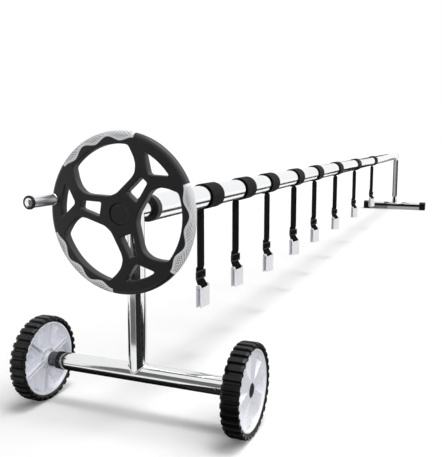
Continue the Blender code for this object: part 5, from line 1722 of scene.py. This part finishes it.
def buckle_piece(number, place):
    """Slide buckle with two slots and a centre bar, its edges rounded."""
    outline = rounded_box(BUCKLE_HALF_WIDTH, BUCKLE_HALF_HEIGHT, BUCKLE_CORNER, 8)
    slot = rounded_box(SLOT_HALF_WIDTH, (SLOT_HIGH - SLOT_LOW) / 2.0, SLOT_ROUND, 5)
    slot_middle = (SLOT_LOW + SLOT_HIGH) / 2.0
    offsets, heights = both_edges(BUCKLE_EDGE, BUCKLE_HALF_THICKNESS)
    surface = Surface()
    top, bottom = wall(surface, outline, -offsets, heights, place)
    slots = [wall(surface, slot + (0.0, side * slot_middle), offsets, heights, place) for side in (-1.0, 1.0)]
    fill(surface, top, [front for front, _ in slots], BUCKLE_HALF_THICKNESS, place)
    fill(surface, bottom, [back for _, back in slots], -BUCKLE_HALF_THICKNESS, place)
    make_piece("slider_" + str(number), surface, "dark_plastic", "strap_" + str(number),
               ["buckle_" + str(number)])


def folded_outline(half_width, side, reach, corner, steps):
    """Flat outline of a part of the tab between its two ends, with points along the fold on both sides."""
    edge = side * (half_width / TAB_HALF_WIDTH, 1.0, 1.0)
    return soften(np.concatenate((
        [(half_width, -reach, corner)], edge, [(half_width, reach, corner), (-half_width, reach, corner)],
        edge[::-1] * (-1.0, 1.0, 1.0), [(-half_width, -reach, corner)],
    )), steps=steps)


def cheek_edges(span):
    """Offsets and heights of a cheek's edge, from its outer face to the foot of its chamfered inner edge."""
    offsets, heights = edge_steps(CHEEK_EDGE, CHEEK_EDGE, span, steps=3)
    return np.append(-offsets, CHEEK_EDGE), np.append(heights, 0.0)


def tab_piece(number, turned):
    """Folded plate: a flat outline with a window, bent in a half circle over the bar, with cheeks and bar.

    A flat point (x, s, h) with |s| <= pi F / 2 goes to angle s / F at radius F + h; further out it runs
    straight down at F + h from the middle.
    """
    quarter = math.pi * TAB_FOLD / 2.0
    name = "tab_" + str(number)

    def near_bar(points):
        x, y, z = np.moveaxis(np.asarray(points, float), -1, 0)
        return turned(x, y - LOOP_LEAN, z + LOOP_Z)

    def bent(points):
        x, s, h = np.moveaxis(np.asarray(points, float), -1, 0)
        angle = np.clip(s, -quarter, quarter) / TAB_FOLD
        past = np.maximum(np.abs(s) - quarter, 0.0)
        return near_bar(np.stack((
            x, (TAB_FOLD + h) * np.sin(angle), (TAB_FOLD + h) * np.cos(angle) - past), axis=-1))

    side = np.column_stack((
        np.full(TAB_BEND_POINTS, TAB_HALF_WIDTH), np.linspace(-quarter, quarter, TAB_BEND_POINTS),
        np.zeros(TAB_BEND_POINTS)))
    outline = folded_outline(TAB_HALF_WIDTH, side, quarter + TAB_BOTTOM, TAB_CORNER, 6)
    window = folded_outline(TAB_SLOT, side, quarter + TAB_SILL, TAB_SLOT_CORNER, 5)
    offsets, heights = both_edges(TAB_EDGE, TAB_WALL / 2.0)
    surface = Surface()
    outer, inner = wall(surface, outline, -offsets, heights, bent)
    front_hole, back_hole = wall(surface, window, offsets, heights, bent)
    fill(surface, outer, [front_hole], TAB_WALL / 2.0, bent)
    fill(surface, inner, [back_hole], -TAB_WALL / 2.0, bent)
    make_piece("plate_" + str(number), surface, "tab_plastic", name, [name])
    surface = Surface()
    within = TAB_FOLD - TAB_WALL / 2.0 - GAP
    round_top = arc_points(within, 0.0, 180.0, CHEEK_STEPS)
    cheek = np.concatenate((round_top, [(-within, -TAB_SILL), (within, -TAB_SILL)]))
    span = TAB_HALF_WIDTH - TAB_SLOT - 2.0 * TAB_EDGE
    start = TAB_SLOT + TAB_EDGE
    for way in (-1.0, 1.0):
        def beside(points):
            y, z, out = np.moveaxis(np.asarray(points, float), -1, 0)
            return near_bar(np.stack((way * (start + out), y, z), axis=-1))

        top, bottom = wall(surface, cheek, *cheek_edges(span), beside)
        fill(surface, top, [], span, beside)
        fill(surface, bottom, [], 0.0, beside)
    bar_end = start + TAB_BAR_OVERLAP
    bar = [(0.0, -bar_end), (TAB_BAR, -bar_end), (TAB_BAR, bar_end), (0.0, bar_end)]
    lathe(surface, bar, "X", (0.0, 0.0, 0.0), TAB_BAR_SIDES)
    surface.points[-1] = near_bar(surface.points[-1])
    make_piece("hanger_" + str(number), surface, "tab_plastic", name, [name])


class REEL_OT_straps(bpy.types.Operator):
    """Wound cuffs, hanging webbing with its stitching, slide buckles and folded tabs"""

    bl_idname = "reel.straps"
    bl_label = "Straps"

    def execute(self, context):
        """Build all the straps."""
        for number, (place, hang, turn) in enumerate(STRAPS, 1):
            self.strap(context.scene.reel_sizes, number, POST_X + place, hang, turn)
        return {"FINISHED"}

    def strap(self, sizes, number, x, hang, turn):
        """Build one strap."""
        tube_radius = REAR_TUBE_RADIUS if number == ON_REAR_TUBE else TUBE_RADIUS
        body = "strap_" + str(number)
        angle = np.radians(np.linspace(CUFF_START, CUFF_START + 360.0 * sizes.cuff_turns, CUFF_POINTS))
        lead = tube_radius + GAP + sizes.cuff_thickness / 2.0
        spiral = lead + (sizes.cuff_thickness + CUFF_STEP) * (angle - angle[0]) / (2.0 * math.pi)
        path = np.stack((spiral * np.sin(angle), REEL_Z - spiral * np.cos(angle)), axis=1)
        place, at = ribbon_map(path, CUFF_PATH_STEP, hanging(x, 0.0, 0.0, REEL_Z))
        surface = Surface()
        ribbon(surface, place, at, CUFF_WIDTH, sizes.cuff_thickness)
        cuff = make_piece("cuff_" + str(number), surface, "wound_webbing", body, [body], "weave_lie")
        turned = hanging(x, hang, turn, REEL_Z - tube_radius - CUFF_DEPTH)
        place, at = ribbon_map(web_path(tube_radius, hang), WEB_STEP, turned)
        surface = Surface()
        ribbon(surface, place, at, WEB_WIDTH, sizes.web_thickness)
        web = make_piece("web_" + str(number), surface, "webbing", body, [body], "weave_lie")
        surface = Surface()
        stitches(surface, place, math.radians(PATCH_ANGLE) * (tube_radius + CUFF_DEPTH))
        seam = make_piece("seam_" + str(number), surface, "thread", body, [body])
        across, before = np.array(((0.0, 0.0), (1.0, 0.0), (0.0, -1.0))).T
        origin, side, front = turned(across, before, np.full(len(across), BUCKLE_Z))
        buckle_piece(number, local_frame(origin, side - origin, (0.0, 0.0, 1.0), front - origin))
        tab_piece(number, turned)


# Camera and lamps: name, its strength's setting, apparent size and tilt in degrees
CAMERA_PLACE = (-4.19826, -0.85239, 0.77222)
CAMERA_TURN = (81.796, 0.0, -67.659)
LAMPS = (
    ("overhead", "key", 19.0, (8.0, 0.0, 0.0)),
    ("high_front", "high", 60.0, (38.0, 0.0, 24.0)),
    ("low_front", "fill", 40.0, (80.0, 0.0, -45.0)),
)

# Floor: half its size, how much it lights the object, how much it is lifted for the camera and mirrors
WHITE = (1.0, 1.0, 1.0)
FLOOR_HALF = 60.0
FLOOR_BOUNCE = 0.30
FLOOR_LIFT = 0.02

# Cards that only mirrors see, flat across one axis: name, axis, place on it, two corners on the others, level
CARD_Z = 0.002
WHEEL_CARD_Y = abs(middle("wheel_left_tyre").y) - 0.0200
WHEEL_LOW = (POST_X - 0.10, AXLE_Z - 0.10)
WHEEL_HIGH = (POST_X + 0.10, AXLE_Z + 0.10)
FLAT_CARDS = (
    ("floor_right", "Z", CARD_Z, (-2.60, -0.86), (5.00, -0.36), 0.05),
    ("floor_left", "Z", CARD_Z, (-2.60, 0.07), (5.00, 0.86), 0.06),
    ("under_base", "Z", CARD_Z, (POST_X - 0.10, -0.26), (POST_X + 0.25, 0.44), 0.006),
    ("before_base", "Z", CARD_Z, (POST_X - 0.20, -0.26), (POST_X - 0.10, 0.44), 0.03),
    ("before_rear", "Z", CARD_Z, (REAR_X - 0.42, -0.60), (REAR_X - 0.11, 0.60), 0.012),
    ("under_rear", "Z", CARD_Z, (REAR_X - 0.11, -0.60), (REAR_X + 0.40, 0.60), 0.38),
    ("above_rear", "Z", 0.30, (REAR_X - 0.42, -0.60), (REAR_X - 0.20, 0.60), 0.012),
    ("before_wheel", "Y", -WHEEL_CARD_Y, WHEEL_LOW, WHEEL_HIGH, 0.02),
    ("before_wheel", "Y", WHEEL_CARD_Y, WHEEL_LOW, WHEEL_HIGH, 0.02),
    ("rear_side", "X", REAR_X - 0.40, (0.02, 0.30), (0.80, 0.90), 0.04),
    ("low_rear", "X", REAR_X - 0.42, (-0.60, 0.0), (0.60, 0.30), 0.012),
)

# Cards bent round a post: name, its x, directions in degrees, distances and heights of their two edges, level
CARD_STEPS = 12
ON_FLOOR = (0.003, 0.003)
CLOSE = (0.12, 0.12)
BESIDE_POST = (0.13, 0.53)
BENT_CARDS = (
    ("floor_near", POST_X, (120.0, 192.0), (0.64, 1.40), ON_FLOOR, 0.16),
    ("floor_dark", POST_X, (194.0, 262.0), (0.12, 2.40), ON_FLOOR, 0.023),
    ("wall_grey", POST_X, (143.0, 185.0), (1.40, 1.40), (0.02, 1.05), 0.16),
    ("wall_dark", POST_X, (194.0, 262.0), (2.40, 2.40), (0.0, 1.80), 0.023),
    ("round_rear_1", REAR_X, (40.0, 125.0), CLOSE, BESIDE_POST, 0.12),
    ("round_rear_2", REAR_X, (125.0, 190.0), CLOSE, BESIDE_POST, 0.45),
    ("round_rear_3", REAR_X, (190.0, 235.0), CLOSE, BESIDE_POST, 0.22),
    ("round_rear_4", REAR_X, (235.0, 330.0), CLOSE, BESIDE_POST, 0.045),
)


def seen_ray(tree):
    """1 for rays from the camera, off a mirror or through something clear, and 0 for the others."""
    path = add_node(tree, "ShaderNodeLightPath").outputs
    seen = math_node(tree, "MAXIMUM", path["Is Camera Ray"], path["Is Glossy Ray"])
    return math_node(tree, "MAXIMUM", seen, path["Is Transmission Ray"])


def white_world(ambient):
    """White to the camera and in mirrors, and an even ambient light for everything else."""
    world = bpy.data.worlds.new("studio_white")
    bpy.context.scene.world = world
    world.use_nodes = True
    tree = world.node_tree
    shown = tree.nodes["Background"]
    shown.inputs["Color"].default_value = (*WHITE, 1.0)
    shown.inputs["Strength"].default_value = 1.0
    lit = add_node(tree, "ShaderNodeBackground", {"Color": (*WHITE, 1.0), "Strength": ambient})
    mix = add_node(tree, "ShaderNodeMixShader", None,
                   {0: seen_ray(tree), 1: lit.outputs["Background"], 2: shown.outputs["Background"]})
    tree.links.new(mix.outputs["Shader"], tree.nodes["World Output"].inputs["Surface"])


def white_floor():
    """Wide matt floor that renders white where nothing shades it."""
    material, tree, shader = new_finish("white_floor", WHITE, Roughness=1.0, Specular_IOR_Level=0.0)
    bounced = add_node(tree, "ShaderNodeLightPath").outputs["Is Diffuse Ray"]
    tree.links.new(colour_mix(tree, bounced, WHITE, darker(WHITE, FLOOR_BOUNCE)), shader.inputs["Base Color"])
    shader.inputs["Emission Color"].default_value = (*WHITE, 1.0)
    lift = math_node(tree, "MULTIPLY", seen_ray(tree), FLOOR_LIFT)
    tree.links.new(lift, shader.inputs["Emission Strength"])
    stage_panel("floor", [(x * FLOOR_HALF, y * FLOOR_HALF, 0.0) for x, y in SQUARE], [(0, 1, 2, 3)], material)


def stage_panel(name, points, faces, material):
    """One piece of the stage."""
    mesh = bpy.data.meshes.new(name)
    mesh.from_pydata(points, [], faces)
    mesh.materials.append(material)
    panel = bpy.data.objects.new(name, mesh)
    bpy.context.scene.collection.objects.link(panel)
    panel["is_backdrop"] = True
    return panel


def mirror_card(name, rows, level):
    """Studio card between two rows of points that only mirrors see; level is its brightness."""
    material = bpy.data.materials.new(name)
    material.use_nodes = True
    tree = material.node_tree
    tree.nodes.remove(tree.nodes["Principled BSDF"])
    glow = add_node(tree, "ShaderNodeEmission", {"Color": (level, level, level, 1.0), "Strength": 1.0})
    tree.links.new(glow.outputs["Emission"], tree.nodes["Material Output"].inputs["Surface"])
    surface = Surface()
    surface.grid(np.array(rows))
    card = stage_panel(name, surface.points[0].tolist(), surface.faces[0].tolist(), material)
    card.visible_camera = False
    card.visible_diffuse = False
    card.visible_shadow = False
    card.visible_transmission = False
    card.visible_volume_scatter = False


class REEL_OT_stage(bpy.types.Operator):
    """Floor, white surroundings, soft lamps, cards for the mirror lines and the camera"""

    bl_idname = "reel.stage"
    bl_label = "Stage"

    def execute(self, context):
        """Build the stage."""
        scene = context.scene
        settings = scene.reel_stage
        scene.view_settings.view_transform = "Standard"
        white_world(settings.ambient)
        white_floor()
        for name, axis, at, (low_a, low_b), (high_a, high_b), level in FLAT_CARDS:
            rows = np.array((((low_a, low_b), (high_a, low_b)), ((low_a, high_b), (high_a, high_b))))
            mirror_card(name, np.insert(rows, "XYZ".index(axis), at, axis=-1), level)
        for name, x, directions, distances, heights, level in BENT_CARDS:
            angle = np.radians(np.linspace(*directions, CARD_STEPS + 1))
            rows = [np.column_stack((x + reach * np.cos(angle), reach * np.sin(angle), height + 0.0 * angle))
                    for reach, height in zip(distances, heights)]
            mirror_card(name, rows, level)
        for name, setting, size, tilt in LAMPS:
            lamp = bpy.data.lights.new(name, "SUN")
            lamp.energy = getattr(settings, setting)
            lamp.angle = math.radians(size)
            self.put(name, lamp, (0.0, 0.0, 0.0), tilt)
        lens = bpy.data.cameras.new("camera")
        lens.lens = settings.lens
        scene.camera = self.put("camera", lens, CAMERA_PLACE, CAMERA_TURN)
        return {"FINISHED"}

    def put(self, name, data, place, turn):
        """Put a lamp or the camera in its place, turned by angles in degrees."""
        holder = bpy.data.objects.new(name, data)
        holder.location = place
        holder.rotation_euler = [math.radians(angle) for angle in turn]
        bpy.context.scene.collection.objects.link(holder)
        return holder


class REEL_PT_panel(bpy.types.Panel):
    """Sidebar panel with one button for each group of pieces"""

    bl_idname = "REEL_PT_panel"
    bl_label = "Pool Cover Reel"
    bl_space_type = "VIEW_3D"
    bl_region_type = "UI"
    bl_category = "Reel"

    def draw(self, context):
        """Show the buttons, then the sizes, colours and stage settings."""
        layout = self.layout
        for operator in OPERATORS:
            layout.operator(operator.bl_idname)
        for group in (context.scene.reel_sizes, context.scene.reel_colours, context.scene.reel_stage):
            box = layout.box()
            for name in group.__annotations__:
                box.prop(group, name)


OPERATORS = (
    REEL_OT_front_stand,
    REEL_OT_rear_stand,
    REEL_OT_wheels,
    REEL_OT_handwheel,
    REEL_OT_crank,
    REEL_OT_reel,
    REEL_OT_straps,
    REEL_OT_stage,
)
CLASSES = (ReelSizes, ReelColours, ReelStage, *OPERATORS, REEL_PT_panel)


def register():
    """Register the classes and hang the settings on the scene."""
    for kind in CLASSES:
        bpy.utils.register_class(kind)
    bpy.types.Scene.reel_sizes = PointerProperty(type=ReelSizes)
    bpy.types.Scene.reel_colours = PointerProperty(type=ReelColours)
    bpy.types.Scene.reel_stage = PointerProperty(type=ReelStage)


def unregister():
    """Take the settings and classes away again."""
    del bpy.types.Scene.reel_stage
    del bpy.types.Scene.reel_colours
    del bpy.types.Scene.reel_sizes
    for kind in reversed(CLASSES):
        bpy.utils.unregister_class(kind)


def main():
    """Build every piece and the stage."""
    register()
    for operator in OPERATORS:
        getattr(bpy.ops.reel, operator.bl_idname.split(".")[1])()
    boxes = {"cad": CAD_BOX, "visual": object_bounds()}
    {name: [list(corner) for corner in box] for name, box in boxes.items()}


if __name__ == "__main__":
    main()
